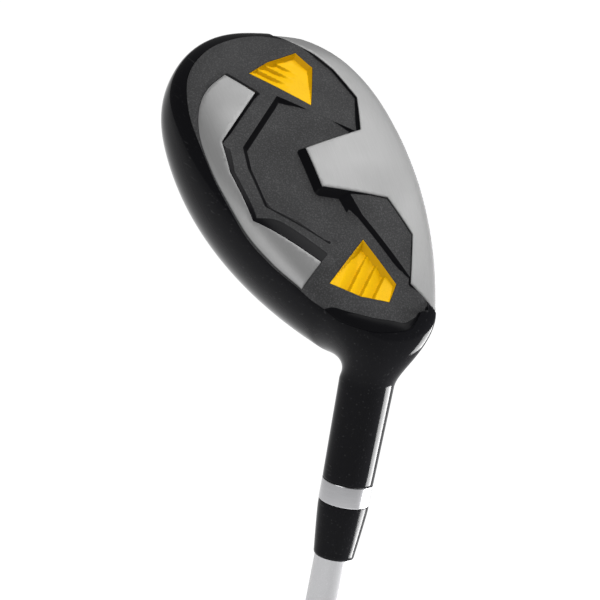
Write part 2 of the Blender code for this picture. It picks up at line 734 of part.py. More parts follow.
def make_hosel_pieces(plug_finish, band_finish, ferrule_finish):
    bore = TIP_RADIUS + FIT_GAP
    low = from_ground(PLUG_BOTTOM)
    turned("bore_plug", [(0.0, low), (TIP_RADIUS, low), (TIP_RADIUS, low - PLUG_THICK),
                         (0.0, low - PLUG_THICK)], plug_finish)
    top = from_ground(HOSEL_TOP + FIT_GAP)
    end = from_ground(BAND_TOP)
    turned("ferrule_band", [(bore, top), (HOSEL_TOP_RADIUS - 0.2, top), (HOSEL_TOP_RADIUS, top - 0.3),
                            (HOSEL_TOP_RADIUS, end + 0.3), (HOSEL_TOP_RADIUS - 0.2, end),
                            (bore, end)], band_finish)
    top = end - FIT_GAP
    end = from_ground(FERRULE_TOP)
    wide = HOSEL_TOP_RADIUS - 0.1
    turned("ferrule_sleeve", [(bore, top), (wide - 0.2, top), (wide, top - 0.3),
                              (mix(wide, FERRULE_END_RADIUS, 0.35), mix(top, end, 0.4)),
                              (mix(wide, FERRULE_END_RADIUS, 0.8), mix(top, end, 0.8)),
                              (FERRULE_END_RADIUS, end + 1.0), (FERRULE_END_RADIUS - 0.1, end),
                              (bore, end)], ferrule_finish)


def make_shaft(finish, weight_finish):
    tip = from_ground(TIP_END)
    straight = from_ground(TIP_STRAIGHT)
    butt = CAP_THICK + FIT_GAP
    outside = [(TIP_RADIUS - 0.4, tip), (TIP_RADIUS, tip - 0.6), (TIP_RADIUS, straight),
               (shaft_radius(GRIP_LENGTH), GRIP_LENGTH), (shaft_radius(butt), butt)]
    inside = [(shaft_radius(butt) - BUTT_WALL, butt), (TIP_RADIUS - TIP_WALL, straight),
              (TIP_RADIUS - TIP_WALL, tip)]
    turned("shaft_tube", outside + inside, finish)
    radius = TIP_RADIUS - TIP_WALL - FIT_GAP
    turned("tip_weight", [(0.0, tip), (radius, tip), (radius, tip - TIP_WEIGHT_LENGTH),
                          (0.0, tip - TIP_WEIGHT_LENGTH)], weight_finish)


def make_grip(tape_finish, grip_finish, cap_finish):
    low = CAP_THICK + FIT_GAP
    tape_low = low + TAPE_INSET
    tape_top = GRIP_LENGTH - TAPE_INSET
    turned("grip_tape", [(shaft_radius(tape_top) + FIT_GAP + TAPE_THICK, tape_top),
                         (shaft_radius(tape_low) + FIT_GAP + TAPE_THICK, tape_low),
                         (shaft_radius(tape_low) + FIT_GAP, tape_low),
                         (shaft_radius(tape_top) + FIT_GAP, tape_top)], tape_finish)
    bore = 2 * FIT_GAP + TAPE_THICK
    top = GRIP_LENGTH
    lip = top - GRIP_LIP_LENGTH
    butt = CAP_RADIUS - 0.2
    flare = low + 14.0
    neck = GRIP_MOUTH_RADIUS + (GRIP_BUTT_RADIUS - GRIP_MOUTH_RADIUS) * 0.32
    turned("grip_sleeve", [(shaft_radius(top) + bore, top),
                           (GRIP_MOUTH_RADIUS + GRIP_LIP - 0.6, top),
                           (GRIP_MOUTH_RADIUS + GRIP_LIP, top - 0.8),
                           (GRIP_MOUTH_RADIUS + GRIP_LIP, lip),
                           (GRIP_MOUTH_RADIUS, lip - 0.6),
                           (neck, mix(low, top, 0.55)),
                           (GRIP_BUTT_RADIUS - 0.9, low + 45.0),
                           (GRIP_BUTT_RADIUS - 0.2, flare), (butt, low + 4.0), (butt, low),
                           (shaft_radius(low) + bore, low)], grip_finish)
    turned("grip_cap", [(VENT_RADIUS, CAP_THICK), (CAP_RADIUS, CAP_THICK),
                        (CAP_RADIUS, CAP_CHAMFER), (CAP_RADIUS - CAP_CHAMFER, 0.0),
                        (VENT_RADIUS, 0.0)], cap_finish)


# ---------------------------------------------------------------- the club

def clear_scene():
    for old in list(bpy.data.objects):
        bpy.data.objects.remove(old)


def head_frame():
    """The empty that turns the head's own frame so that the shaft stands upright."""
    frame = bpy.data.objects.new("head_frame", None)
    bpy.context.scene.collection.objects.link(frame)
    frame.location = (0.0, 0.0, CLUB_LENGTH * MM)
    frame.rotation_euler = (math.pi, LIE - math.pi / 2, 0.0)
    return frame


def main():
    clear_scene()
    frame = head_frame()
    gloss_black = material("gloss_black", (0.012, 0.012, 0.014), 0.0, 0.12)
    textured_black = material("textured_black", (0.06, 0.06, 0.062), 0.0, 0.55)
    brushed = material("brushed_steel", (0.50, 0.50, 0.51), 0.9, 0.35)
    face_steel = material("blasted_steel", (0.30, 0.30, 0.31), 0.9, 0.5)
    yellow = material("yellow_plastic", (1.0, 0.58, 0.01), 0.0, 0.4)
    lead_grey = material("weight_metal", (0.25, 0.25, 0.26), 1.0, 0.5)
    brass = material("brass", (0.62, 0.42, 0.14), 1.0, 0.35)
    amber = material("melt_glue", (0.75, 0.55, 0.22), 0.0, 0.4)
    chrome = material("satin_chrome", (0.65, 0.65, 0.66), 1.0, 0.2)
    ferrule_black = material("ferrule_plastic", (0.012, 0.012, 0.012), 0.0, 0.2)
    painted_silver = material("painted_shaft", (0.66, 0.66, 0.67), 0.1, 0.3)
    tape = material("tape", (0.75, 0.72, 0.62), 0.0, 0.8)
    rubber = material("rubber", (0.02, 0.02, 0.02), 0.0, 0.8)
    make_head_shell(gloss_black, frame)
    make_face_plate(face_steel, frame)
    make_sole_plate(textured_black, frame)
    make_brushed_plate("front_sole_plate", FRONT_PLATE, FRONT_LINES, brushed, frame)
    make_brushed_plate("rear_sole_plate", REAR_PLATE, REAR_LINES, brushed, frame)
    make_inlay("toe_inlay", TOE_INLAY_EDGE, yellow, frame)
    make_inlay("heel_inlay", HEEL_INLAY_EDGE, yellow, frame)
    make_block("weight_pad", WEIGHT_PAD, PAD_HEIGHT, lead_grey, frame)
    make_block("melt_bead", MELT_BEAD, BEAD_HEIGHT, amber, frame)
    make_hosel_pieces(ferrule_black, chrome, ferrule_black)
    make_shaft(painted_silver, brass)
    make_grip(tape, rubber, rubber)


main()
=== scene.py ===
import math

import bmesh
import bpy
import numpy as np
from mathutils import Euler, Matrix, Vector
from mathutils.bvhtree import BVHTree
from mathutils.geometry import delaunay_2d_cdt
from mathutils.kdtree import KDTree


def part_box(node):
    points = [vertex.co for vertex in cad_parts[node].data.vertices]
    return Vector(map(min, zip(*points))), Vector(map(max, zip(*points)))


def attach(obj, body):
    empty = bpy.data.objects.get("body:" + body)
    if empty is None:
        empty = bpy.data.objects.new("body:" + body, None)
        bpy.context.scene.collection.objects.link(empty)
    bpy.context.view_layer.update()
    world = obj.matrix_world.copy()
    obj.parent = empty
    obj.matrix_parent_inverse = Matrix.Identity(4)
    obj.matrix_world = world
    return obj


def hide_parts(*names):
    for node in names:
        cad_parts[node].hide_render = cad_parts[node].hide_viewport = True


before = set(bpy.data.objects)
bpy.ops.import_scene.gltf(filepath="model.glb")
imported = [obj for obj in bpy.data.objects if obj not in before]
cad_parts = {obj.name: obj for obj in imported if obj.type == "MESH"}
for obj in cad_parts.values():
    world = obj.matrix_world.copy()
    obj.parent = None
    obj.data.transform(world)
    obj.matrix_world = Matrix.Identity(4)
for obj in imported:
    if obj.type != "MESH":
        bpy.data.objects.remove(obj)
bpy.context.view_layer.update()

bl_info = {
    "name": "Hybrid Golf Club",
    "version": (1, 0, 0),
    "blender": (4, 5, 0),
    "location": "3D View > Sidebar > Club",
    "description": "Builds a hybrid golf club with a stepped sole, piece by piece",
    "category": "Add Mesh",
}

MM = 0.001

# The head's own frame, in millimetres: U to the toe, V to the face, W up from the ground
CLUB_LENGTH = 838.0
LIE = math.radians(60.0)
LOFT = math.radians(25.0)
LOFT_SLOPE = math.tan(LOFT)
HEAD_PLACE = (Matrix.Translation((0.0, 0.0, CLUB_LENGTH * MM))
              @ Euler((math.pi, LIE - math.pi / 2, 0.0)).to_matrix().to_4x4())

TO_HEAD = HEAD_PLACE.to_3x3().inverted().to_euler()

TOE_REACH = 84.6
HEEL_REACH = 16.0
LEAD_REACH = 21.0
BACK_REACH = 38.8
HEAD_HEIGHT = 35.0
SKIRT_HEIGHT = 11.5
TOE_SET_BACK = 3.0
LEAD_RADIUS = 140.0
BACK_RADIUS = 70.0
SOLE_RADIUS = 180.0
CROWN_RADIUS = 106.0
SOLE_RISE = 2.1
CROWN_DROP = 2.0
HEAD_MIDDLE = 37.0
BACK_MIDDLE = 48.0
TOE_ROUND = 30.0
TOE_ROUND_UP = 14.0
NOSE_LEVEL = 2.0
LEAD_SQUARE = 9.0
TOP_SQUARE = 6.5
SKIRT_SQUARE = 2.8
BACK_SQUARE = 2.0
TOE_SQUARE_FRONT = 2.7
TOE_SQUARE_BACK = 2.6
TOE_SQUARE_UP = 2.2
HOSEL_BASE = 30.0
HOSEL_TOP = 55.5
HOSEL_BASE_RADIUS = 6.9
HOSEL_TOP_RADIUS = 6.4
HOSEL_FILLET = 3.7
NECK_FRONT = 1.5
NECK_BACK = 0.75
BORE_BOTTOM = 18.0
BORE_CLEARANCE = 0.1
CAVITY_TURN = 0.34
SHELL_WALL = 2.2
SOLE_THICK = 4.4
SOLE_RIM = 2.7
RIM_WIDTH = 2.0
RIM_BLEND = 4.0
CHIN = 3.0
FACE_THICK = 2.8
TIP_RADIUS = 4.7
TIP_STRAIGHT = 130.0
BUTT_RADIUS = 7.2
TIP_WALL = 1.3
TIP_END = 21.4
SCORE_COUNT = 7
SCORE_PITCH = 2.7
SCORE_WIDTH = 0.8
SCORE_START = 10.0
SCORE_HEEL = 12.0
SCORE_TOE = 60.0
FACE_BEVEL = 0.25
PLATE_BEVEL = 0.2

# Outlines in percent: along the head from heel to toe, and across it from back to front
SOLE_EDGE = [(7.5, 80.0), (3.4, 74.0), (2.4, 65.0), (2.8, 55.0), (5.9, 43.3), (10.9, 34.8),
             (15.5, 29.0), (23.5, 20.0), (33.3, 11.9), (45.1, 6.3), (54.6, 4.3), (64.0, 3.9),
             (70.0, 4.9), (76.0, 7.4), (81.0, 11.0), (86.0, 17.5), (91.1, 28.5), (94.9, 44.0),
             (96.0, 54.0)]
REAR_INNER = [(72.7, 35.1), (57.6, 11.9), (48.4, 11.2), (34.3, 15.3), (20.5, 38.5)]
REAR_OUTER = [(15.5, 29.6), (23.5, 20.6), (33.3, 12.5), (45.1, 6.9), (54.6, 4.9), (62.4, 5.4),
              (69.5, 9.0), (75.0, 15.4), (79.5, 25.6)]
FRONT_INNER = [(96.8, 61.5), (94.9, 64.9), (88.4, 74.1), (82.8, 79.3), (72.8, 83.9), (61.2, 78.1),
               (54.2, 47.8), (42.3, 49.0), (39.7, 78.9), (29.2, 85.8), (15.1, 78.3), (8.6, 88.1)]
BASIN = [(72.8, 46.2), (55.8, 20.7), (49.3, 19.6), (37.7, 21.7), (24.6, 48.5), (31.6, 61.2),
         (39.8, 64.9), (61.2, 78.1), (66.5, 62.4)]
PANEL = [(40.3, 61.5), (40.2, 79.8), (29.8, 87.0), (16.5, 79.5), (34.3, 64.0)]
TOE_INLAY = [(80.9, 38.6), (85.2, 50.0), (88.9, 65.7), (84.0, 70.6), (69.9, 60.5)]
HEEL_INLAY = [(15.4, 41.0), (27.5, 61.7), (15.4, 72.1), (10.4, 66.7), (11.8, 54.0)]
# Direction across the ribs, first rib, pitch, and where along it a rib fades out and is full
TOE_RIBS = ((0.762, 0.645), 3.3, 3.45, 11.0, 5.0)
HEEL_RIBS = ((-0.6, 0.8), 5.3, 3.15, 12.5, 5.0)
RIB_COUNT = 3
RIB_RAMP = 0.84
INLAY_CLIMB = 1.3
# Slope above which an inlay's faces take the darker yellow of painted shade
INLAY_SHADE_STEEP = 0.65
FACE_EDGE = [(15.0, 30.0), (13.0, 42.0), (20.0, 62.0), (40.0, 78.0), (61.0, 80.0), (78.0, 71.0),
             (88.0, 56.0), (89.5, 42.0), (85.0, 28.0), (70.0, 21.0), (45.0, 19.5), (25.0, 22.0)]

FIELD_RAMP = 9.5
FRONT_WALL_SLOPE = 1.7
BASIN_WALL_SLOPE = 0.75
BASIN_CLIMB_ALONG = (42.0, 51.0)
BASIN_CLIMB_ACROSS = (-13.0, -2.0)
BASIN_GENTLE = (22.0, -12.0)
BASIN_GENTLE_BLEND = 3.0
BASIN_GENTLE_SLOPE = 0.35
PANEL_WALL_SLOPE = 0.75
INLAY_WALL_SLOPE = 1.6
HEEL_WALL_WIDTH = 3.6
HEEL_WALL_START = -4.5
HEEL_WALL_BLEND = 4.0
HEEL_WALL_MIDDLE = -4.5
HEEL_WALL_HALF = 13.5
HEEL_WALL_LEAST = 0.5
HEEL_WALL_TAPER = 0.3
REAR_SLOPE_ALONG = (18.0, 28.0, 40.0, 42.0, 56.2, 57.6)
REAR_SLOPES = (0.3, 0.45, 0.5, 1.8, 1.8, 0.55)
# Both ends of the black wall beside the rear plate, with the way out past each
REAR_TOE_END = (64.0, -23.5)
REAR_TOE_OUT = (0.70, -0.71)
REAR_HEEL_END = (4.6, -15.8)
REAR_HEEL_OUT = (-0.73, 0.69)
# Area of the basin's heel end that keeps the finish of the field, without the black painted on the
# walls as shade
RAMP_AREA = ((3.5, -8.5), (9.0, -12.5), (21.0, -3.0), (13.0, 1.0))
# A wall's painted black, partly a gloss finish and partly painted shade, ends this far above its
# foot
WALL_FOOT = 0.04

# Grids, in millimetres
FINE = 0.6
MIDDLE = 1.2
COARSE = 4.0
PLATE_GRID = FINE * 1.3
INLAY_GRID = 0.32
# Steps out from an outline where the sole's grid follows it
EDGE_GUIDES = (-0.2, 0.0, 0.2)
FRONT_GUIDES = (0.35, 0.6, 0.85, 1.05)
REAR_GUIDES = (0.45, 0.8, 1.2, 1.6, 2.0, 2.4, 2.8)
# Points of a section, then sections at the toe, along the body and round to the hosel
LOOKUP_STEPS = (320, 44, 90, 40)
HEAD_STEPS = (160, 28, 44, 26)
CAVITY_STEPS = (40, 8, 10, 3)
TURN_STEPS = 96
# Attribute that marks where walls are painted darker, as shade
WALL_SHADE_MARK = "wall"


# ---------------------------------------------------------------- settings

def length(name, description, default, precision=4, **limits):
    return bpy.props.FloatProperty(name=name, description=description, default=default,
                                   precision=precision, unit="LENGTH", **limits)


def colour(name, description, default):
    return bpy.props.FloatVectorProperty(name=name, description=description, default=default,
                                         subtype="COLOR", min=0.0, max=1.0)


class HeadSizes(bpy.types.PropertyGroup):
    seam: length(
        "Seam", "Open line between neighbouring pieces of the head", 0.00012, precision=5,
        min=0.00005, max=0.0003)
    edge_round: length(
        "Edge round", "Rounding of the cast edges of the sole", 0.00025, precision=5,
        min=0.00005, max=0.0006)
    field_depth: length(
        "Field depth", "How far the textured field sinks below the plates", 0.0013)
    basin_depth: length(
        "Basin depth", "Deepest level of the sole, in its middle", 0.0024)
    panel_depth: length(
        "Panel depth", "Level of the raised panel on the heel side", 0.00045, precision=5)
    plate_thick: length(
        "Plate thickness", "Thickness of the brushed plates", 0.0012)
    inlay_depth: length(
        "Inlay depth", "Hollow of an inlay at its deep end", 0.0013)
    inlay_floor: length(
        "Inlay floor", "Thickness of an inlay under its hollow", 0.0008)
    rib_step: length(
        "Rib step", "Height of each rib of an inlay", 0.0009, precision=5)
    score_depth: length(
        "Score depth", "Depth of the lines across the face", 0.0004, precision=5)


class ShaftSizes(bpy.types.PropertyGroup):
    band_length: length(
        "Band length", "Length of the silver band above the hosel", 0.0052)
    ferrule_length: length(
        "Ferrule length", "Length of the tapered ferrule", 0.0143)
    ferrule_end_radius: length(
        "Ferrule end radius", "Radius of the ferrule where the shaft leaves it", 0.00515,
        precision=5)
    groove_depth: length(
        "Grip groove depth", "Depth of the moulded grooves of the grip", 0.0004, precision=5)
    groove_pitch: length(
        "Grip groove pitch", "Spacing of the grooves along the grip", 0.009)


class Finishes(bpy.types.PropertyGroup):
    gloss_black: colour("Gloss black", "Lacquer of the casting", (0.006, 0.006, 0.007))
    field_black: colour("Field black", "Textured paint of the sole", (0.046, 0.046, 0.047))
    plate_silver: colour("Plate silver", "Brushed plates of the sole", (0.26, 0.26, 0.26))
    inlay_yellow: colour("Inlay yellow", "Inlays of the sole", (1.0, 0.57, 0.002))
    face_grey: colour("Face grey", "Blasted steel of the face", (0.26, 0.26, 0.27))
    band_silver: colour("Band silver", "Band above the hosel", (0.34, 0.34, 0.35))
    shaft_silver: colour("Shaft silver", "Paint of the shaft", (0.42, 0.42, 0.43))
    grip_black: colour("Grip black", "Rubber of the grip", (0.018, 0.018, 0.018))


class StageSettings(bpy.types.PropertyGroup):
    floor: colour("Floor", "Colour of the floor", (0.92, 0.92, 0.92))
    fill: bpy.props.FloatProperty(
        name="Fill", description="Strength of the light from all round", default=0.16, min=0.0)
    key: bpy.props.FloatProperty(
        name="Key", description="Power of the large light over the head", default=24.0,
        unit="POWER")
    side: bpy.props.FloatProperty(
        name="Side", description="Power of the light behind the hosel", default=34.0,
        unit="POWER")
    glow: bpy.props.FloatProperty(
        name="Glow", description="Brightness of the floor itself", default=0.85, min=0.0)
    view_distance: length(
        "View distance", "Camera to the head", 4.5, precision=2)
    view_width: length(
        "View width", "Width seen at the head", 0.1476)


# ---------------------------------------------------------------- numbers

def mix(first, second, share):
    return first + (second - first) * share


def bounded(value):
    return np.clip(value, 0.0, 1.0)


def ease(share):
    return share * share * (3.0 - 2.0 * share)


def soft_min(first, second, reach):
    """The smaller of two levels, rounded where they meet."""
    share = bounded(0.5 + 0.5 * (second - first) / reach)
    return mix(second, first, share) - reach * share * (1.0 - share) / 2


def bow(position, middle, radius):
    return (position - middle) ** 2 / (2.0 * radius)


def run_out(distance, length, square):
    if distance >= length:
        return 1.0
    return (1.0 - (1.0 - distance / length) ** square) ** (1.0 / square)


def place(point):
    along, across = point
    return Vector((mix(-HEEL_REACH, TOE_REACH, along / 100.0),
                   mix(-BACK_REACH, LEAD_REACH, across / 100.0)))


def shaft_point(up, across=0.0):
    return (-up * math.cos(LIE) + across * math.sin(LIE),
            up * math.sin(LIE) + across * math.cos(LIE))


# ---------------------------------------------------------------- outlines

def smooth_curve(points, spacing, closed=False):
    count = len(points)
    curve = []
    for index in range(count if closed else count - 1):
        p1 = points[index]
        p2 = points[(index + 1) % count]
        p0 = points[index - 1] if closed or index > 0 else p1
        p3 = points[(index + 2) % count] if closed or index + 2 < count else p2
        steps = max(1, round((p2 - p1).length / spacing))
        for step in range(steps):
            t = step / steps
            curve.append(0.5 * (2 * p1 + (p2 - p0) * t + (2 * p0 - 5 * p1 + 4 * p2 - p3) * t ** 2
                                + (3 * p1 - p0 - 3 * p2 + p3) * t ** 3))
    if not closed:
        curve.append(points[-1])
    return curve


def straight_run(points, spacing):
    run = []
    for start, end in zip(points, points[1:] + points[:1]):
        steps = max(1, round((end - start).length / spacing))
        run += [start.lerp(end, step / steps) for step in range(steps)]
    return run


def counter_clockwise(outline):
    area = sum(a.cross(b) for a, b in zip(outline, outline[1:] + outline[:1]))
    return outline if area > 0 else outline[::-1]


def grown(outline, distance):
    outline = counter_clockwise(outline)
    moved = []
    for index, point in enumerate(outline):
        before = (point - outline[index - 1]).normalized()
        after = (outline[(index + 1) % len(outline)] - point).normalized()
        normal = Vector((before.y + after.y, -before.x - after.x)).normalized()
        reach = max(0.4, normal.dot(Vector((before.y, -before.x))))
        moved.append(point + normal * distance / reach)
    return moved


def depth_inside(points, outline):
    """Distance of each point to the outline, positive inside it and negative outside."""
    nearest = np.full(len(points), np.inf)
    inside = np.zeros(len(points), bool)
    for start, end in zip(outline, outline[1:] + outline[:1]):
        start, end = np.array(start), np.array(end)
        run = end - start
        share = bounded((points - start) @ run / (run @ run))
        nearest = np.minimum(nearest, np.hypot(*(points - start - share[:, None] * run).T))
        if start[1] != end[1]:
            spans = (start[1] > points[:, 1]) != (end[1] > points[:, 1])
            level = start[0] + (points[:, 1] - start[1]) * run[0] / run[1]
            inside ^= spans & (points[:, 0] < level)
    return np.where(inside, nearest, -nearest)


# ---------------------------------------------------------------- shape of the head

PIVOT = shaft_point(HOSEL_BASE, HOSEL_BASE_RADIUS + HOSEL_FILLET)


def head_section(along, turn, count, wall=0.0):
    """Closed outline of one section of the head, as (U, V, W) points, set in by a wall.

    Up to the heel a section stands upright at U = along. From there the sections fan about
    PIVOT, as turn goes from 0 to 1, and round off into the hosel.
    """
    blend = ease(turn)
    hosel_level = PIVOT[1] - HOSEL_BASE_RADIUS - HOSEL_FILLET
    from_toe = TOE_REACH - wall - along
    height_share = run_out(from_toe, TOE_ROUND_UP, TOE_SQUARE_UP)
    past_heel = along - HEEL_REACH * turn
    front = LEAD_REACH - wall / math.cos(LOFT) - bow(past_heel, HEAD_MIDDLE, LEAD_RADIUS)
    front = mix(-TOE_SET_BACK, front, run_out(from_toe, TOE_ROUND, TOE_SQUARE_FRONT))
    front = mix(front, HOSEL_BASE_RADIUS, blend ** NECK_FRONT)
    back = bow(past_heel, BACK_MIDDLE, BACK_RADIUS) - BACK_REACH + wall
    back = mix(-TOE_SET_BACK, back, run_out(from_toe, TOE_ROUND, TOE_SQUARE_BACK))
    back = mix(back, -HOSEL_BASE_RADIUS, ease(turn ** NECK_BACK))
    low = mix(SKIRT_HEIGHT, bow(along, HEAD_MIDDLE, SOLE_RADIUS) + wall, height_share)
    low = mix(low, hosel_level - HOSEL_BASE_RADIUS, blend)
    high = HEAD_HEIGHT - wall - bow(along, HEAD_MIDDLE, CROWN_RADIUS)
    high = mix(SKIRT_HEIGHT, high, height_share)
    high = mix(high, hosel_level + HOSEL_BASE_RADIUS, blend)
    level = mix(SKIRT_HEIGHT, hosel_level, blend)
    body_share = (1.0 - blend) * height_share
    centre = (front + back) / 2
    nose = low + SOLE_RISE * body_share + NOSE_LEVEL
    points = []
    for index in range(count):
        theta = 2.0 * math.pi * (index + 0.5) / count
        side = abs(math.cos(theta))
        rise = abs(math.sin(theta))
        forward = math.cos(theta) > 0
        upward = math.sin(theta) > 0
        if forward:
            square = TOP_SQUARE if upward else LEAD_SQUARE
        else:
            square = BACK_SQUARE if upward else SKIRT_SQUARE
        square = 1.0 / mix(1.0 / square, 0.5, blend)
        reach = (side ** square + rise ** square) ** (-1.0 / square)
        side *= reach
        rise *= reach
        v = mix(centre, front if forward else back, side)
        h = mix(level, high if upward else low, rise)
        if forward:
            bend = -CROWN_DROP if upward else SOLE_RISE
            h += bend * body_share * side ** 2 * rise
            v -= LOFT_SLOPE * body_share * (h - nose) * side
        down = PIVOT[1] - h
        if turn > 0:
            angle = turn * LIE
            points.append(Vector((PIVOT[0] - down * math.sin(angle), v,
                                  PIVOT[1] - down * math.cos(angle))))
        else:
            points.append(Vector((along, v, h)))
    return points


def head_rings(count, toe_steps, body_steps, fan_steps, last_turn=1.0, wall=0.0):
    """Sections from the toe round to the foot of the hosel."""
    rings = []
    for step in range(1, toe_steps + 1):
        from_toe = wall + TOE_ROUND * (1.0 - math.cos(math.pi / 2 * step / toe_steps))
        rings.append(head_section(TOE_REACH - from_toe, 0.0, count, wall))
    for step in range(1, body_steps + 1):
        along = mix(TOE_REACH - TOE_ROUND - wall, PIVOT[0], step / body_steps)
        rings.append(head_section(along, 0.0, count, wall))
    for step in range(1, fan_steps + 1):
        rings.append(head_section(PIVOT[0], last_turn * step / fan_steps, count, wall))
    return rings


def skin(rings, wall=0.0):
    """Vertices and faces of a closed body through the rings, pointed at the toe."""
    count = len(rings[0])
    vertices = [Vector((TOE_REACH - wall, -TOE_SET_BACK, SKIRT_HEIGHT))]
    faces = []
    for ring in rings:
        vertices += ring
    for index in range(count):
        follow = (index + 1) % count
        faces.append((0, 1 + index, 1 + follow))
        for level in range(len(rings) - 1):
            start = 1 + level * count
            faces.append((start + index, start + count + index,
                          start + count + follow, start + follow))
    last = 1 + (len(rings) - 1) * count
    faces.append(tuple(range(last, last + count)))
    return vertices, faces


def hosel_rings(ring):
    """The foot of the hosel carried up to its top, where the edge is rounded."""
    direction = Vector((-math.cos(LIE), 0.0, math.sin(LIE)))
    foot = direction * HOSEL_BASE
    levels = [(step / 8, 0.0) for step in range(1, 8)] + [(0.985, 0.0), (0.995, 0.03), (1.0, 0.12)]
    rings = []
    for share, pull in levels:
        radius = mix(HOSEL_BASE_RADIUS, HOSEL_TOP_RADIUS, share) - pull
        centre = direction * mix(HOSEL_BASE, HOSEL_TOP, share)
        rings.append([centre + (point - foot) * (radius / HOSEL_BASE_RADIUS) for point in ring])
    return rings


class HeadSurface:
    """Looks up the outside of the head from below and from the front."""

    def __init__(self):
        vertices, faces = skin(head_rings(*LOOKUP_STEPS))
        self.tree = BVHTree.FromPolygons(vertices, faces)

    def level_under(self, point):
        middle = Vector((HEAD_MIDDLE, 0.0))
        for step in range(200):
            spot = Vector(point).lerp(middle, step / 200)
            hit = self.tree.ray_cast(Vector((spot.x, spot.y, -50.0)), Vector((0, 0, 1)))[0]
            if hit is not None and hit.z < SKIRT_HEIGHT + 4.0:
                return hit.z
        raise ValueError("no underside near this point")

    def under(self, points):
        """W of the underside at each (U, V)."""
        return np.array([self.level_under(point) for point in points])

    def face(self, points):
        """V of the face at each (U, W)."""
        return np.array([self.tree.ray_cast(Vector((point[0], 80.0, point[1])),
                                            Vector((0, -1, 0)))[0].y for point in points])


HEAD = HeadSurface()


def lead_curve(spacing, inset):
    """(U, V) along the tip of the leading edge, from heel to toe, set in a little."""
    count = 240
    low_front = range(count * 3 // 4, count)
    tips = []
    sections = [(PIVOT[0], turn) for turn in (0.16, 0.12, 0.08, 0.04)]
    steps = round((TOE_REACH - PIVOT[0]) / spacing)
    for step in range(steps):
        sections.append((mix(PIVOT[0], TOE_REACH - 1.6, (step / steps) ** 0.85), 0.0))
    for along, turn in sections:
        ring = head_section(along, turn, count)
        tip = max((ring[index] for index in low_front), key=lambda point: point.y)
        tips.append(Vector((tip.x, tip.y - inset)))
    return tips


REAR_PLATE = counter_clockwise([place(p) for p in REAR_INNER]
                               + smooth_curve([place(p) for p in REAR_OUTER], 1.0))
FRONT_BACK = [place(p) for p in FRONT_INNER]
FRONT_PLATE = counter_clockwise(
    FRONT_BACK + [p for p in lead_curve(1.0, 0.12) if FRONT_BACK[-1].x < p.x < FRONT_BACK[0].x])
SOLE_OPENING = counter_clockwise(
    smooth_curve([place(p) for p in SOLE_EDGE], 1.0)
    + [p for p in lead_curve(1.0, CHIN)[::-1]
       if place(SOLE_EDGE[0]).x < p.x < place(SOLE_EDGE[-1]).x - CHIN])
BASIN_EDGE = counter_clockwise([place(p) for p in BASIN])
PANEL_EDGE = counter_clockwise([place(p) for p in PANEL])
TOE_INLAY_EDGE = [place(p) for p in TOE_INLAY]
HEEL_INLAY_EDGE = [place(p) for p in HEEL_INLAY]
FACE_PLATE = smooth_curve(
    [Vector((place((along, 0.0)).x, HEAD_HEIGHT * height / 100.0)) for along, height in FACE_EDGE],
    1.0, closed=True)


# ---------------------------------------------------------------- levels of the sole

def field_depth(points, sizes):
    """Depth of the textured field, which sinks gently from the toe and by a wall at the heel."""
    edge = depth_inside(points, SOLE_OPENING)
    gentle = ease(bounded(edge / FIELD_RAMP))
    walled = bounded(edge / heel_wall_width(points))
    share = bounded((HEEL_WALL_START - points[:, 0]) / HEEL_WALL_BLEND)
    return sizes.field_depth / MM * mix(gentle, walled, share)


def share_between(values, limits):
    return ease(bounded((values - limits[0]) / (limits[1] - limits[0])))


def basin_floor(points, field, sizes):
    """Depth of the basin's floor, which climbs to the field towards the toe and the face."""
    climb = (share_between(points[:, 0], BASIN_CLIMB_ALONG)
             * share_between(points[:, 1], BASIN_CLIMB_ACROSS))
    return mix(sizes.basin_depth / MM, field, climb)


def basin_slope(points):
    """Slope of the basin's sides, gentler near the heel."""
    share = (bounded((BASIN_GENTLE[0] - points[:, 0]) / BASIN_GENTLE_BLEND)
             * bounded((points[:, 1] - BASIN_GENTLE[1]) / BASIN_GENTLE_BLEND))
    return mix(BASIN_WALL_SLOPE, BASIN_GENTLE_SLOPE, share)


def rear_slope(points):
    """Slope of the walls beside the rear plate, steep along its toe half."""
    return np.interp(points[:, 0], REAR_SLOPE_ALONG, REAR_SLOPES)


def heel_wall_width(points):
    """Width of the wall at the heel, which narrows to both its ends."""
    return np.maximum(HEEL_WALL_LEAST, HEEL_WALL_WIDTH
                      * (1.0 - ((points[:, 1] - HEEL_WALL_MIDDLE) / HEEL_WALL_HALF) ** 2))


def heel_wall_top():
    """Line where the wall at the heel meets the field."""
    outline = np.array(SOLE_OPENING)
    inward = np.array(grown(SOLE_OPENING, -1.0)) - outline
    line = outline + inward * heel_wall_width(outline)[:, None]
    return [Vector(point) for point in line]


def relief_depth(points, sizes):
    """Depth of the sole below its outer skin, with the plates in place."""
    reach = sizes.edge_round / MM
    field = field_depth(points, sizes)
    # towards the toe and the face the floor of the basin climbs to the field
    floor = basin_floor(points, field, sizes)
    basin = depth_inside(points, BASIN_EDGE)
    side = field + np.maximum(0.0, basin) * basin_slope(points)
    depth = np.where(basin > -reach, soft_min(floor, side, reach), field)
    panel = -depth_inside(points, PANEL_EDGE)
    depth = soft_min(depth, sizes.panel_depth / MM + np.maximum(0.0, panel) * PANEL_WALL_SLOPE,
                     reach)
    rear = -depth_inside(points, REAR_PLATE)
    depth = soft_min(depth, np.maximum(0.0, rear) * rear_slope(points), reach)
    front = -depth_inside(points, FRONT_PLATE)
    return soft_min(depth, np.maximum(0.0, front) * FRONT_WALL_SLOPE, reach)


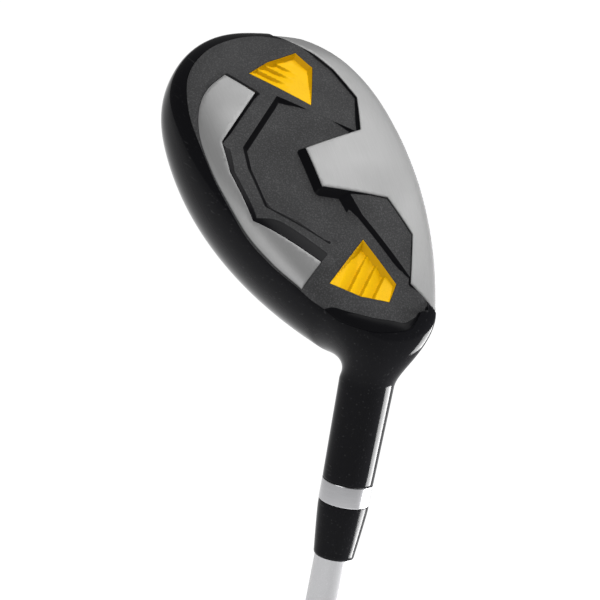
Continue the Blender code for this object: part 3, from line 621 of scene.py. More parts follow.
def shaded_wall_margin(points, sizes):
    """How far plan points lie inside the walls of the sole painted black, partly a gloss finish and
    partly painted shade; below zero is outside them.
    """
    field = field_depth(points, sizes)
    inside = depth_inside(points, BASIN_EDGE)
    floor = basin_floor(points, field, sizes)
    side = field + inside * basin_slope(points)
    margin = np.minimum(inside, floor - WALL_FOOT - side)
    depth = np.where(inside > 0, np.minimum(side, floor), field)
    edge = depth_inside(points, SOLE_OPENING)
    start = HEEL_WALL_START - HEEL_WALL_BLEND / 2
    heel = np.minimum(heel_wall_width(points) - edge, (start - points[:, 0]) * HEEL_WALL_TAPER)
    margin = np.maximum(margin, heel)
    beside = -depth_inside(points, PANEL_EDGE)
    level = sizes.panel_depth / MM + np.maximum(0.0, beside) * PANEL_WALL_SLOPE
    lower = depth - WALL_FOOT - level
    margin = np.maximum(np.minimum(margin, -lower), np.minimum(beside, lower))
    depth = np.minimum(depth, level)
    ends = np.minimum((REAR_TOE_END - points) @ REAR_TOE_OUT,
                      (REAR_HEEL_END - points) @ REAR_HEEL_OUT)
    for outline, slope, limit in ((REAR_PLATE, rear_slope(points), ends + WALL_FOOT),
                                  (FRONT_PLATE, FRONT_WALL_SLOPE, 1.0)):
        level = np.maximum(0.0, -depth_inside(points, outline)) * slope
        margin = np.maximum(margin, np.minimum(depth - WALL_FOOT - level, limit))
        depth = np.minimum(depth, level)
    return np.minimum(margin, -depth_inside(points, [Vector(p) for p in RAMP_AREA]))


def steepness(points, depth_at):
    """Slope of a depth function at plan points."""
    reach = 0.08
    along, across = np.array((reach, 0.0)), np.array((0.0, reach))
    return np.hypot(depth_at(points + along) - depth_at(points - along),
                    depth_at(points + across) - depth_at(points - across)) / (2.0 * reach)


def inlay_depth(points, outline, ribs, sizes):
    """Depth of an inlay's hollow below the field.

    The floor climbs to the edge that joins the outline's last and first corners. Three ribs,
    each a small step, run across it and fade out along their length.
    """
    across, first, pitch, faded, full = ribs
    corner = np.array(outline[0])
    edge = (outline[-1] - outline[0]).normalized()
    climb = Vector((-edge.y, edge.x))
    if climb.dot(outline[2] - outline[0]) < 0:
        climb = -climb
    far = max((p - outline[0]).dot(climb) for p in outline)
    share = bounded((points - corner) @ np.array(climb) / far)
    depth = sizes.inlay_depth / MM * np.minimum(1.0, share * INLAY_CLIMB)
    over = ((points - corner) @ np.array(across) - first) / pitch + 1.0
    step = over - np.floor(over)
    step = np.where(step > RIB_RAMP, (1.0 - step) / (1.0 - RIB_RAMP), step / RIB_RAMP)
    along = (points - corner) @ np.array((-across[1], across[0]))
    strength = ease(bounded((along - faded) / (full - faded)))
    ribbed = (over > 0.0) & (over < RIB_COUNT)
    depth += np.where(ribbed, sizes.rib_step / MM * step * strength, 0.0)
    depth = np.minimum(depth, (sizes.inlay_depth + sizes.inlay_floor * 0.5) / MM)
    wall = np.maximum(0.0, depth_inside(points, counter_clockwise(outline)))
    return soft_min(depth, wall * INLAY_WALL_SLOPE, sizes.edge_round / MM)


def sole_seat(points, depth, sizes):
    """The relief, with the seats of the plates and the inlays sunk into it."""
    seam = sizes.seam / MM
    for outline in (FRONT_PLATE, REAR_PLATE):
        seated = depth_inside(points, grown(outline, seam / 2)) > -seam / 8
        depth = np.where(seated, sizes.plate_thick / MM + seam, depth)
    below = field_depth(points, sizes) + (sizes.inlay_depth + sizes.inlay_floor) / MM + seam
    for outline in (TOE_INLAY_EDGE, HEEL_INLAY_EDGE):
        seated = depth_inside(points, grown(outline, seam / 2)) > -seam / 8
        depth = np.where(seated, below, depth)
    return depth


def sole_thickness(points):
    edge = depth_inside(points, SOLE_OPENING)
    return mix(SOLE_RIM, SOLE_THICK, bounded((edge - RIM_WIDTH) / RIM_BLEND))


# ---------------------------------------------------------------- meshes

def plan_points(outline, guides, spacing):
    """Points of a plan outline and the triangles between them, which follow the guides."""
    outline = counter_clockwise(straight_run(outline, spacing))
    points = list(outline)
    edges = []
    flat_outline = outline
    for guide in guides:
        guide = straight_run(guide, spacing)
        inside = depth_inside(np.array(guide), flat_outline) > 0
        start = len(points)
        follow = [(index, (index + 1) % len(guide)) for index in range(len(guide))]
        edges += [(start + a, start + b) for a, b in follow if inside[a] or inside[b]]
        points += guide
    tree = KDTree(len(points))
    for index, point in enumerate(points):
        tree.insert(point.to_3d(), index)
    tree.balance()
    left, near = min(p.x for p in outline), min(p.y for p in outline)
    columns = int((max(p.x for p in outline) - left) / spacing) + 1
    rows = int((max(p.y for p in outline) - near) / spacing) + 1
    grid = np.array([(left + (column + 0.25 + 0.5 * (row % 2)) * spacing,
                      near + (row + 0.5) * spacing)
                     for row in range(rows) for column in range(columns)])
    for point in grid[depth_inside(grid, outline) > spacing * 0.4]:
        if tree.find((point[0], point[1], 0.0))[2] > spacing * 0.5:
            points.append(Vector(point))
    border = list(range(len(outline)))
    flat, _, triangles = delaunay_2d_cdt(points, edges, [border], 1, 0.005)[:3]
    middles = np.array([tuple(sum((flat[index] for index in triangle), Vector((0.0, 0.0))) / 3)
                        for triangle in triangles])
    triangles = [triangle for triangle, depth in zip(triangles, depth_inside(middles, outline))
                 if depth > 0]
    used = sorted({index for triangle in triangles for index in triangle})
    order = {old: new for new, old in enumerate(used)}
    flat = [flat[index] for index in used]
    turned_up = []
    for triangle in triangles:
        a, b, c = (order[index] for index in triangle)
        if (flat[b] - flat[a]).cross(flat[c] - flat[a]) < 0:
            b, c = c, b
        turned_up.append((a, b, c))
    return np.array([tuple(p) for p in flat]), turned_up


def between(flat, triangles, low, high):
    """A closed body over plan triangles, between two sets of points. Low faces come first."""
    count = len(flat)
    faces = [(a, c, b) for a, b, c in triangles]
    faces += [(a + count, b + count, c + count) for a, b, c in triangles]
    sides = {pair for a, b, c in triangles for pair in ((a, b), (b, c), (c, a))}
    faces += [(a, b, b + count, a + count) for a, b in sorted(sides) if (b, a) not in sides]
    return np.vstack([low, high]), faces


def slab(outline, guides, low, high, spacing):
    """A plate over a plan outline. low and high turn plan points into points of its faces."""
    flat, triangles = plan_points(outline, guides, spacing)
    return between(flat, triangles, low(flat), high(flat))


def in_plan(points, levels):
    return np.column_stack([points, levels])


def in_front(points, levels):
    return np.column_stack([points[:, 0], levels, points[:, 1]])


def head_mesh(name, vertices, faces, finishes, sharp=30.0):
    """A piece drawn in the head's frame, given in millimetres and set in its place."""
    placed = [HEAD_PLACE @ (Vector(vertex) * MM) for vertex in vertices]
    return flat_mesh(name, placed, faces, finishes, sharp)


def link_new(name, data):
    made = bpy.data.objects.new(name, data)
    bpy.context.scene.collection.objects.link(made)
    return made


def flat_mesh(name, vertices, faces, finishes, sharp=30.0):
    mesh = bpy.data.meshes.new(name)
    build = bmesh.new()
    corners = [build.verts.new(vertex) for vertex in vertices]
    for face in faces:
        build.faces.new([corners[index] for index in face])
    bmesh.ops.recalc_face_normals(build, faces=build.faces)
    build.to_mesh(mesh)
    build.free()
    mesh.shade_smooth()
    mesh.set_sharp_from_angle(angle=math.radians(sharp))
    for finish in finishes:
        mesh.materials.append(finish)
    return link_new(name, mesh)


def carve(target, tools, sharp=30.0):
    """Cuts the tools out of the target, keeps the result and removes the tools."""
    for tool in tools:
        modifier = target.modifiers.new(tool.name, "BOOLEAN")
        modifier.operation = "DIFFERENCE"
        modifier.object = tool
        modifier.solver = "EXACT"
    bpy.context.view_layer.update()
    graph = bpy.context.evaluated_depsgraph_get()
    carved = bpy.data.meshes.new_from_object(target.evaluated_get(graph))
    finishes = list(target.data.materials)
    target.modifiers.clear()
    target.data = carved
    carved.materials.clear()
    for finish in finishes:
        carved.materials.append(finish)
    carved.shade_smooth()
    carved.set_sharp_from_angle(angle=math.radians(sharp))
    for tool in tools:
        bpy.data.objects.remove(tool)


def revolve(name, profile, finish, segments=TURN_STEPS, sharp=30.0, shape=None):
    """A ring turned about Z. A closed profile of (radius, Z) runs down the outside, up the bore.

    shape, if given, takes (radius, Z, angle) and returns the radius there.
    """
    vertices = []
    for radius, level in profile:
        for step in range(segments):
            angle = 2.0 * math.pi * step / segments
            here = shape(radius, level, angle) if shape else radius
            vertices.append((here * math.cos(angle), here * math.sin(angle), level))
    faces = []
    count = len(profile)
    for ring in range(count):
        above = ring * segments
        below = ((ring + 1) % count) * segments
        for step in range(segments):
            follow = (step + 1) % segments
            faces.append((above + step, above + follow, below + follow, below + step))
    return flat_mesh(name, vertices, faces, [finish], sharp)


def rounded(profile, radii, steps=4):
    """The closed profile with each corner rounded by its own radius."""
    smooth = []
    count = len(profile)
    for index, (point, radius) in enumerate(zip(profile, radii)):
        here = Vector(point)
        before = Vector(profile[index - 1]) - here
        after = Vector(profile[(index + 1) % count]) - here
        if radius == 0:
            smooth.append(point)
            continue
        start = here + before.normalized() * min(radius, before.length * 0.45)
        end = here + after.normalized() * min(radius, after.length * 0.45)
        for step in range(steps + 1):
            t = step / steps
            smooth.append(tuple(start.lerp(here, t).lerp(here.lerp(end, t), t)))
    return smooth


def mark_shaded_walls(piece, margins):
    """Store, for the first vertices of a piece, how far they lie inside its walls, which the finish
    paints darker as shade.
    """
    values = np.full(len(piece.data.vertices), -1.0, np.float32)
    values[:len(margins)] = margins
    piece.data.attributes.new(WALL_SHADE_MARK, "FLOAT", "POINT").data.foreach_set("value", values)


def settle(piece, slot, *nodes):
    """Fixes a finished piece to the club in place of its nodes."""
    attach(piece, "root")
    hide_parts(*nodes)
    return piece


# ---------------------------------------------------------------- finishes

def add(tree, kind, inputs=None, **settings):
    """A node with its settings, and its inputs set to values or linked to sockets."""
    made = tree.nodes.new(kind)
    for key, value in settings.items():
        setattr(made, key, value)
    for key, value in (inputs or {}).items():
        if isinstance(value, bpy.types.NodeSocket):
            tree.links.new(value, made.inputs[key])
        else:
            made.inputs[key].default_value = value
    return made


def blend_colours(tree, share, first, second):
    made = add(tree, "ShaderNodeMix", {0: share, 6: first, 7: second}, data_type="RGBA")
    return made.outputs[2]


def noise(tree, where, scale, **settings):
    inputs = {key.title(): value for key, value in settings.items()}
    return add(tree, "ShaderNodeTexNoise", {"Vector": where, "Scale": scale, **inputs}).outputs[0]


def spread(tree, value, low, high, to_low=0.0, to_high=1.0):
    made = add(tree, "ShaderNodeMapRange", {"Value": value, "From Min": low, "From Max": high,
                                            "To Min": to_low, "To Max": to_high})
    return made.outputs["Result"]


def new_group(name, inputs, outputs):
    tree = bpy.data.node_groups.new(name, "ShaderNodeTree")
    for label, kind, value in inputs:
        socket = tree.interface.new_socket(label, in_out="INPUT", socket_type=kind)
        socket.default_value = value
    for label, kind in outputs:
        tree.interface.new_socket(label, in_out="OUTPUT", socket_type=kind)
    return tree, tree.nodes.new("NodeGroupInput"), tree.nodes.new("NodeGroupOutput")


def fine_grain():
    """Specks and a slow drift of colour, for textured paint, rubber, flake and castings."""
    if "Fine Grain" in bpy.data.node_groups:
        return bpy.data.node_groups["Fine Grain"]
    tree, given, result = new_group(
        "Fine Grain",
        [("Base Colour", "NodeSocketColor", (0.5, 0.5, 0.5, 1.0)),
         ("Speck Colour", "NodeSocketColor", (0.7, 0.7, 0.7, 1.0)),
         ("Grain Scale", "NodeSocketFloat", 3000.0),
         ("Speck Start", "NodeSocketFloat", 0.5),
         ("Speck Full", "NodeSocketFloat", 0.7),
         ("Drift", "NodeSocketFloat", 0.15)],
        [("Colour", "NodeSocketColor"), ("Height", "NodeSocketFloat")])
    where = add(tree, "ShaderNodeTexCoord").outputs["Object"]
    grain = noise(tree, where, given.outputs["Grain Scale"], detail=2.0, roughness=0.6)
    drift = noise(tree, where, 90.0, detail=3.0)
    speck = spread(tree, grain, given.outputs["Speck Start"],
                   given.outputs["Speck Full"])
    specked = blend_colours(tree, speck, given.outputs["Base Colour"],
                            given.outputs["Speck Colour"])
    less = add(tree, "ShaderNodeMath", {0: 1.0, 1: given.outputs["Drift"]}, operation="SUBTRACT")
    more = add(tree, "ShaderNodeMath", {0: 1.0, 1: given.outputs["Drift"]}, operation="ADD")
    level = spread(tree, drift, 0.3, 0.7, less.outputs[0], more.outputs[0])
    shade = add(tree, "ShaderNodeVectorMath", {0: specked}, operation="SCALE")
    tree.links.new(level, shade.inputs["Scale"])
    tree.links.new(shade.outputs[0], result.inputs["Colour"])
    tree.links.new(grain, result.inputs["Height"])
    return tree


def handling():
    """Faint smudges and hairlines left by wiping, as a roughness."""
    if "Handling" in bpy.data.node_groups:
        return bpy.data.node_groups["Handling"]
    tree, given, result = new_group(
        "Handling",
        [("Clean", "NodeSocketFloat", 0.1), ("Smudged", "NodeSocketFloat", 0.2),
         ("Scale", "NodeSocketFloat", 60.0)],
        [("Roughness", "NodeSocketFloat"), ("Hairlines", "NodeSocketFloat")])
    where = add(tree, "ShaderNodeTexCoord").outputs["Object"]
    smudge = noise(tree, where, given.outputs["Scale"], detail=4.0, distortion=0.8)
    share = spread(tree, smudge, 0.4, 0.7)
    rough = spread(tree, share, 0.0, 1.0, given.outputs["Clean"], given.outputs["Smudged"])
    turned = add(tree, "ShaderNodeMapping", {"Vector": where, "Rotation": (0.3, 0.5, 0.6),
                                             "Scale": (1.0, 40.0, 40.0)})
    hair = noise(tree, turned.outputs[0], 45.0, detail=1.0)
    tree.links.new(rough, result.inputs["Roughness"])
    tree.links.new(spread(tree, hair, 0.66, 0.74), result.inputs["Hairlines"])
    return tree


def drawn_lines():
    """Long fine lines left by brushing, milling or turning."""
    if "Drawn Lines" in bpy.data.node_groups:
        return bpy.data.node_groups["Drawn Lines"]
    tree, given, result = new_group(
        "Drawn Lines",
        [("Turn", "NodeSocketVector", (0.0, 0.0, 0.0)),
         ("Stretch", "NodeSocketVector", (1.0, 30.0, 30.0)),
         ("Scale", "NodeSocketFloat", 200.0),
         ("Base Colour", "NodeSocketColor", (0.5, 0.5, 0.5, 1.0)),
         ("Line Colour", "NodeSocketColor", (0.6, 0.6, 0.6, 1.0))],
        [("Colour", "NodeSocketColor"), ("Lines", "NodeSocketFloat")])
    where = add(tree, "ShaderNodeTexCoord").outputs["Object"]
    turned = add(tree, "ShaderNodeMapping", {"Vector": where, "Rotation": given.outputs["Turn"]})
    pulled = add(tree, "ShaderNodeVectorMath",
                 {0: turned.outputs[0], 1: given.outputs["Stretch"]}, operation="MULTIPLY")
    lines = noise(tree, pulled.outputs[0], given.outputs["Scale"], detail=3.0)
    share = spread(tree, lines, 0.3, 0.7)
    tree.links.new(blend_colours(tree, share, given.outputs["Base Colour"],
                                 given.outputs["Line Colour"]), result.inputs["Colour"])
    tree.links.new(share, result.inputs["Lines"])
    return tree


def scaled(colour, share):
    return tuple(part * share for part in colour)


def with_alpha(colour, share=1.0):
    return (*(min(1.0, part * share) for part in colour), 1.0)


def start_finish(name, metallic, ior=1.5):
    """A new material, its node tree and its shader."""
    made = bpy.data.materials.new(name)
    made.use_nodes = True
    shader = made.node_tree.nodes["Principled BSDF"]
    shader.inputs["Metallic"].default_value = metallic
    shader.inputs["IOR"].default_value = ior
    return made, made.node_tree, shader


def use_group(tree, group, inputs):
    made = add(tree, "ShaderNodeGroup", node_tree=group)
    for key, value in inputs.items():
        made.inputs[key].default_value = value
    return made


def raise_bump(tree, shader, height, strength, distance):
    bump = add(tree, "ShaderNodeBump", {"Height": height, "Strength": strength,
                                        "Distance": distance})
    tree.links.new(bump.outputs[0], shader.inputs["Normal"])


def grained(name, colour, speck, scale, specks, clean, smudged, metallic=0.0, bump=0.3,
            bump_depth=0.00004, drift=0.12, ior=1.5, wall=None):
    """Textured paint, rubber, flake paint or a casting.

    wall is the colour and roughness where the mesh is marked as a wall, and the half width of
    the blend to it. That darker colour is painted shade on the walls, on the sole's walls partly a
    gloss finish as well.
    """
    made, tree, shader = start_finish(name, metallic, ior)
    grain = use_group(tree, fine_grain(), {
        "Base Colour": with_alpha(colour), "Speck Colour": with_alpha(speck),
        "Grain Scale": scale, "Speck Start": specks[0], "Speck Full": specks[1], "Drift": drift})
    marks = use_group(tree, handling(), {"Clean": clean, "Smudged": smudged, "Scale": 70.0})
    shade, rough = grain.outputs["Colour"], marks.outputs["Roughness"]
    height = grain.outputs["Height"]
    if wall:
        # Blend to the darker wall colour, painted shade on the walls
        colour, smooth, blend = wall
        marked = add(tree, "ShaderNodeAttribute", attribute_name=WALL_SHADE_MARK)
        share = spread(tree, marked.outputs["Fac"], -blend, blend)
        shade = blend_colours(tree, share, shade, with_alpha(colour))
        rough = spread(tree, share, 0.0, 1.0, rough, smooth)
        height = spread(tree, share, 0.0, 1.0, height, 0.5)
    tree.links.new(shade, shader.inputs["Base Color"])
    tree.links.new(rough, shader.inputs["Roughness"])
    raise_bump(tree, shader, height, bump, bump_depth)
    return made


def lacquered(name, colour, clean, smudged, ior=1.12):
    """Gloss lacquer or polished plastic, with smudges, hairlines and a slight orange peel."""
    made, tree, shader = start_finish(name, 0.0, ior)
    marks = use_group(tree, handling(), {"Clean": clean, "Smudged": smudged, "Scale": 45.0})
    shade = blend_colours(tree, marks.outputs["Hairlines"], with_alpha(colour),
                          with_alpha(tuple(part + 0.012 for part in colour)))
    tree.links.new(shade, shader.inputs["Base Color"])
    tree.links.new(marks.outputs["Roughness"], shader.inputs["Roughness"])
    where = add(tree, "ShaderNodeTexCoord").outputs["Object"]
    raise_bump(tree, shader, noise(tree, where, 420.0, detail=1.0), 0.05, 0.0001)
    return made


def drawn(name, colour, stretch, scale, clean, smudged, metallic, contrast=1.12, bump=0.12,
          turn=(0.0, 0.0, 0.0)):
    """Brushed, milled or turned metal."""
    made, tree, shader = start_finish(name, metallic)
    lines = use_group(tree, drawn_lines(), {
        "Turn": turn, "Stretch": stretch, "Scale": scale,
        "Base Colour": with_alpha(colour, 1.0 / contrast),
        "Line Colour": with_alpha(colour, contrast)})
    marks = use_group(tree, handling(), {"Clean": clean, "Smudged": smudged, "Scale": 50.0})
    tree.links.new(lines.outputs["Colour"], shader.inputs["Base Color"])
    tree.links.new(marks.outputs["Roughness"], shader.inputs["Roughness"])
    raise_bump(tree, shader, lines.outputs["Lines"], bump, 0.00003)
    return made


# ---------------------------------------------------------------- head

class CLUB_OT_cast_head(bpy.types.Operator):
    """Hollow casting with its hosel, cut for the sole, the face and the shaft"""
    bl_idname = "club.cast_head"
    bl_label = "Cast Head"

    def execute(self, context):
        sizes = context.scene.club_head
        seam = sizes.seam / MM
        finish = lacquered("gloss_black", context.scene.club_finishes.gloss_black, clean=0.07,
                           smudged=0.13)
        rings = head_rings(*HEAD_STEPS)
        head = head_mesh("cast_head", *skin(rings + hosel_rings(rings[-1])), [finish])
        cavity = skin(head_rings(*CAVITY_STEPS, CAVITY_TURN, SHELL_WALL), SHELL_WALL)
        below = lambda p: in_plan(p, np.full(len(p), -BACK_REACH))
        sole = slab(SOLE_OPENING, [], below,
                    lambda p: in_plan(p, HEAD.under(p) + SOLE_THICK + seam), COARSE)
        ahead = LEAD_REACH + CHIN
        beyond = TOE_REACH + CHIN
        around = grown(FRONT_BACK + [Vector((FRONT_BACK[-1].x, ahead)), Vector((beyond, ahead)),
                                     Vector((beyond, FRONT_BACK[0].y))], seam)
        depth = sizes.plate_thick / MM + seam
        front = slab(around, [grown(FRONT_PLATE, -step) for step in (0.0, 0.7, 1.6)], below,
                     lambda p: in_plan(p, HEAD.under(p) + depth), MIDDLE)
        face = slab(grown(FACE_PLATE, seam), [],
                    lambda p: in_front(p, np.full(len(p), LEAD_REACH + CHIN)),
                    lambda p: in_front(p, HEAD.face(p) - FACE_THICK - SHELL_WALL), COARSE)
        tools = [head_mesh(name, *body, [], 180.0) for name, body in
                 (("cavity", cavity), ("sole_opening", sole), ("front_seat", front),
                  ("face_opening", face))]
        radius = (TIP_RADIUS + BORE_CLEARANCE) * MM
        top = (CLUB_LENGTH - BORE_BOTTOM) * MM
        end = (CLUB_LENGTH - HOSEL_TOP - CHIN) * MM
        bore = bpy.data.meshes.new("bore")
        build = bmesh.new()
        bmesh.ops.create_cone(build, cap_ends=True, segments=TURN_STEPS, radius1=radius,
                              radius2=radius, depth=top - end,
                              matrix=Matrix.Translation((0.0, 0.0, (top + end) / 2)))
        build.to_mesh(bore)
        build.free()
        carve(head, tools + [link_new("bore", bore)])
        settle(head, "gloss_black", "head_shell")
        return {"FINISHED"}


class CLUB_OT_face(bpy.types.Operator):
    """Striking face with its score lines"""
    bl_idname = "club.face"
    bl_label = "Face"

    def execute(self, context):
        sizes = context.scene.club_head
        half = SCORE_WIDTH / 2
        guides = [grown(FACE_PLATE, -FACE_BEVEL)]
        for line in range(SCORE_COUNT):
            level = SCORE_START + line * SCORE_PITCH
            for reach in (half, half * 0.35):
                guides.append([Vector((SCORE_HEEL, level - reach)),
                               Vector((SCORE_TOE, level - reach)),
                               Vector((SCORE_TOE, level + reach)),
                               Vector((SCORE_HEEL, level + reach))])

        def front(points):
            line = np.round((points[:, 1] - SCORE_START) / SCORE_PITCH)
            offset = np.abs(points[:, 1] - SCORE_START - line * SCORE_PITCH)
            scored = ((line >= 0) & (line < SCORE_COUNT) & (points[:, 0] >= SCORE_HEEL)
                      & (points[:, 0] <= SCORE_TOE))
            depth = np.where(scored, bounded((half - offset) / (half * 0.65)), 0.0)
            edge = bounded(1.0 - depth_inside(points, FACE_PLATE) / FACE_BEVEL)
            return in_front(points, HEAD.face(points) - depth * sizes.score_depth / MM
                            - edge * FACE_BEVEL * 0.5)

        plate = slab(FACE_PLATE, guides, front,
                     lambda p: in_front(p, HEAD.face(p) - FACE_THICK), MIDDLE)
        finish = drawn("face_steel", context.scene.club_finishes.face_grey,
                       stretch=(1.0, 1.0, 26.0), scale=160.0, clean=0.42, smudged=0.55,
                       metallic=0.85, contrast=1.2, bump=0.2, turn=TO_HEAD)
        settle(head_mesh("striking_face", *plate, [finish]), "face_steel", "face_plate")
        return {"FINISHED"}


class CLUB_OT_sole_insert(bpy.types.Operator):
    """Textured insert of the sole, with its basin, panel and walls"""
    bl_idname = "club.sole_insert"
    bl_label = "Sole Insert"

    def execute(self, context):
        sizes = context.scene.club_head
        colours = context.scene.club_finishes
        seam = sizes.seam / MM
        field, basin = sizes.field_depth / MM, sizes.basin_depth / MM
        panel = sizes.panel_depth / MM
        edges = [grown(FRONT_PLATE, basin / FRONT_WALL_SLOPE), BASIN_EDGE,
                 grown(BASIN_EDGE, (field - basin) / BASIN_WALL_SLOPE), PANEL_EDGE,
                 grown(PANEL_EDGE, (basin - panel) / PANEL_WALL_SLOPE),
                 heel_wall_top(), grown(PANEL_EDGE, (field - panel) / PANEL_WALL_SLOPE)]
        guides = [grown(edge, step) for edge in edges for step in EDGE_GUIDES]
        guides += [grown(FRONT_PLATE, step) for step in FRONT_GUIDES]
        guides += [grown(REAR_PLATE, step) for step in REAR_GUIDES]
        for outline in (REAR_PLATE, FRONT_PLATE, TOE_INLAY_EDGE, HEEL_INLAY_EDGE):
            guides += [grown(outline, seam), grown(outline, seam / 2)]
        flat, triangles = plan_points(grown(SOLE_OPENING, -seam), guides, FINE)
        depth = sole_seat(flat, relief_depth(flat, sizes), sizes)
        skin_level = HEAD.under(flat)
        vertices, faces = between(flat, triangles, in_plan(flat, skin_level + depth),
                                  in_plan(flat, skin_level + sole_thickness(flat)))
        # The walls of the sole and the groove at the heel take the gloss black, darker than the
        # textured field: partly a gloss finish, partly painted shade
        finish = grained("textured_black", colours.field_black,
                         speck=scaled(colours.field_black, 1.9), scale=2600.0,
                         specks=(0.48, 0.72), clean=0.5, smudged=0.6, bump=0.35, ior=1.1,
                         wall=(colours.gloss_black, 0.28, WALL_FOOT / 2))
        piece = head_mesh("sole_insert", vertices, faces, [finish], 32.0)
        mark_shaded_walls(piece, shaded_wall_margin(flat, sizes))
        settle(piece, "textured_black", "sole_plate")
        return {"FINISHED"}


class CLUB_OT_sole_plates(bpy.types.Operator):
    """Brushed plates at the front and back of the sole"""
    bl_idname = "club.sole_plates"
    bl_label = "Sole Plates"

    def execute(self, context):
        sizes = context.scene.club_head
        thick = sizes.plate_thick / MM
        finish = drawn("plate_silver", context.scene.club_finishes.plate_silver,
                       stretch=(1.0, 22.0, 22.0), scale=150.0, clean=0.46, smudged=0.54,
                       metallic=0.35, contrast=1.03, bump=0.06, turn=TO_HEAD)
        for name, outline, node in (("front_plate", FRONT_PLATE, "front_sole_plate"),
                                    ("rear_plate", REAR_PLATE, "rear_sole_plate")):
            def outer(points):
                edge = bounded(1.0 - depth_inside(points, outline) / PLATE_BEVEL)
                return in_plan(points, HEAD.under(points) + edge * PLATE_BEVEL / 2)

            plate = slab(outline, [grown(outline, -PLATE_BEVEL)], outer,
                         lambda p: in_plan(p, HEAD.under(p) + thick), PLATE_GRID)
            settle(head_mesh(name, *plate, [finish]), "brushed_plate", node)
        return {"FINISHED"}


class CLUB_OT_inlays(bpy.types.Operator):
    """Ribbed yellow inlays near the toe and the heel"""
    bl_idname = "club.inlays"
    bl_label = "Inlays"

    def execute(self, context):
        sizes = context.scene.club_head
        yellow = context.scene.club_finishes.inlay_yellow
        # Steep walls and rib faces of the inlays take a darker yellow, which is painted shade
        finish = grained("inlay_yellow", yellow, speck=scaled(yellow, 0.94), scale=1800.0,
                         specks=(0.45, 0.7), clean=0.40, smudged=0.48, bump=0.06, drift=0.04,
                         ior=1.12, wall=(scaled(yellow, 0.6), 0.45, 0.35))
        back = (sizes.inlay_depth + sizes.inlay_floor) / MM
        for name, outline, ribs in (
                ("toe_inlay_ribbed", TOE_INLAY_EDGE, TOE_RIBS),
                ("heel_inlay_ribbed", HEEL_INLAY_EDGE, HEEL_RIBS)):
            wall = sizes.inlay_depth / MM / INLAY_WALL_SLOPE
            guides = [grown(outline, -wall), grown(outline, -wall * 0.5)]

            def hollow(points):
                return inlay_depth(points, outline, ribs, sizes)

            flat, triangles = plan_points(outline, guides, INLAY_GRID)
            top = HEAD.under(flat) + field_depth(flat, sizes)
            plate = between(flat, triangles, in_plan(flat, top + hollow(flat)),
                            in_plan(flat, top + back))
            piece = head_mesh(name, *plate, [finish], 24.0)
            # Mark the steep faces for the painted shade
            mark_shaded_walls(piece, steepness(flat, hollow) - INLAY_SHADE_STEEP)
            settle(piece, "yellow_inlay", name.replace("_ribbed", ""))
        return {"FINISHED"}


# ---------------------------------------------------------------- shaft and grip

# The band reaches into the gaps on both its sides. Both gaps together, in millimetres, come
# before the end of the ferrule
BAND_LAP = 0.4 * MM
BAND_ROUND = 0.3 * MM
FERRULE_GAPS = 0.6
FERRULE_STRAIGHT = 1.2 * MM
FERRULE_BELLY = 1.15
SHAFT_BUTT = 3.5 * MM
SHAFT_STEPS = 40
# The grip's outside in metres: radius, then how far below its mouth or above its end
GRIP_MOUTH = ((0.0092, 0.0), (0.0092, 0.004), (0.0087, 0.0046))
GRIP_END = ((0.00985, 0.13), (0.0114, 0.045), (0.0121, 0.014), (0.0127, 0.004), (0.0127, 0.0))
GRIP_RING = 0.00075
TAPE_ROOM = 0.0009
BORE_MOST = 0.0085
# Crossed grooves: how many start round the grip each way, half their width as a share of
# the pitch, and how far from the ends of the grip they run and fade
GROOVE_STARTS = 6
GROOVE_SHARE = 0.09
GROOVE_START = 0.02
GROOVE_STOP = 0.012
GROOVE_FADE = 0.004


def up_shaft(level):
    """Z of a point up the shaft from the ground, in metres."""
    return (CLUB_LENGTH - level) * MM


def shaft_radius(level):
    """Outer radius of the shaft at a height, in metres."""
    return mix(BUTT_RADIUS, TIP_RADIUS, float(bounded(level / up_shaft(TIP_STRAIGHT)))) * MM


class CLUB_OT_ferrule(bpy.types.Operator):
    """Silver band and tapered ferrule between the hosel and the shaft"""
    bl_idname = "club.ferrule"
    bl_label = "Ferrule"

    def execute(self, context):
        sizes = context.scene.club_shaft
        colours = context.scene.club_finishes
        seam = context.scene.club_head.seam
        bore = TIP_RADIUS * MM + seam / 2
        wide = HOSEL_TOP_RADIUS * MM
        top = up_shaft(HOSEL_TOP) - seam
        end = top - sizes.band_length - BAND_LAP
        band = rounded([(bore, top), (wide, top), (wide, end), (bore, end)],
                       (0.0, BAND_ROUND, BAND_ROUND, 0.0))
        finish = drawn("band_silver", colours.band_silver, stretch=(1.0, 1.0, 40.0), scale=220.0,
                       clean=0.2, smudged=0.26, metallic=1.0, contrast=1.04, bump=0.02)
        settle(revolve("silver_band", band, finish), "satin_band", "ferrule_band")
        top = end - seam
        end = up_shaft(HOSEL_TOP + FERRULE_GAPS) - sizes.band_length - sizes.ferrule_length
        last = sizes.ferrule_end_radius
        wide -= 0.1 * MM
        profile = [(bore, top), (wide, top), (wide, top - FERRULE_STRAIGHT)]
        for step in range(1, 9):
            share = step / 8
            profile.append((mix(wide, last, share ** FERRULE_BELLY),
                            mix(top - FERRULE_STRAIGHT, end + FERRULE_STRAIGHT, share)))
        profile += [(last - 0.00004, end + 0.0006), (last - 0.00018, end + 0.0002),
                    (last - 0.0004, end), (bore, end)]
        plastic = lacquered("ferrule_plastic", colours.gloss_black, clean=0.12, smudged=0.22)
        settle(revolve("tapered_ferrule", profile, plastic, sharp=40.0), "ferrule_black",
               "ferrule_sleeve")
        return {"FINISHED"}


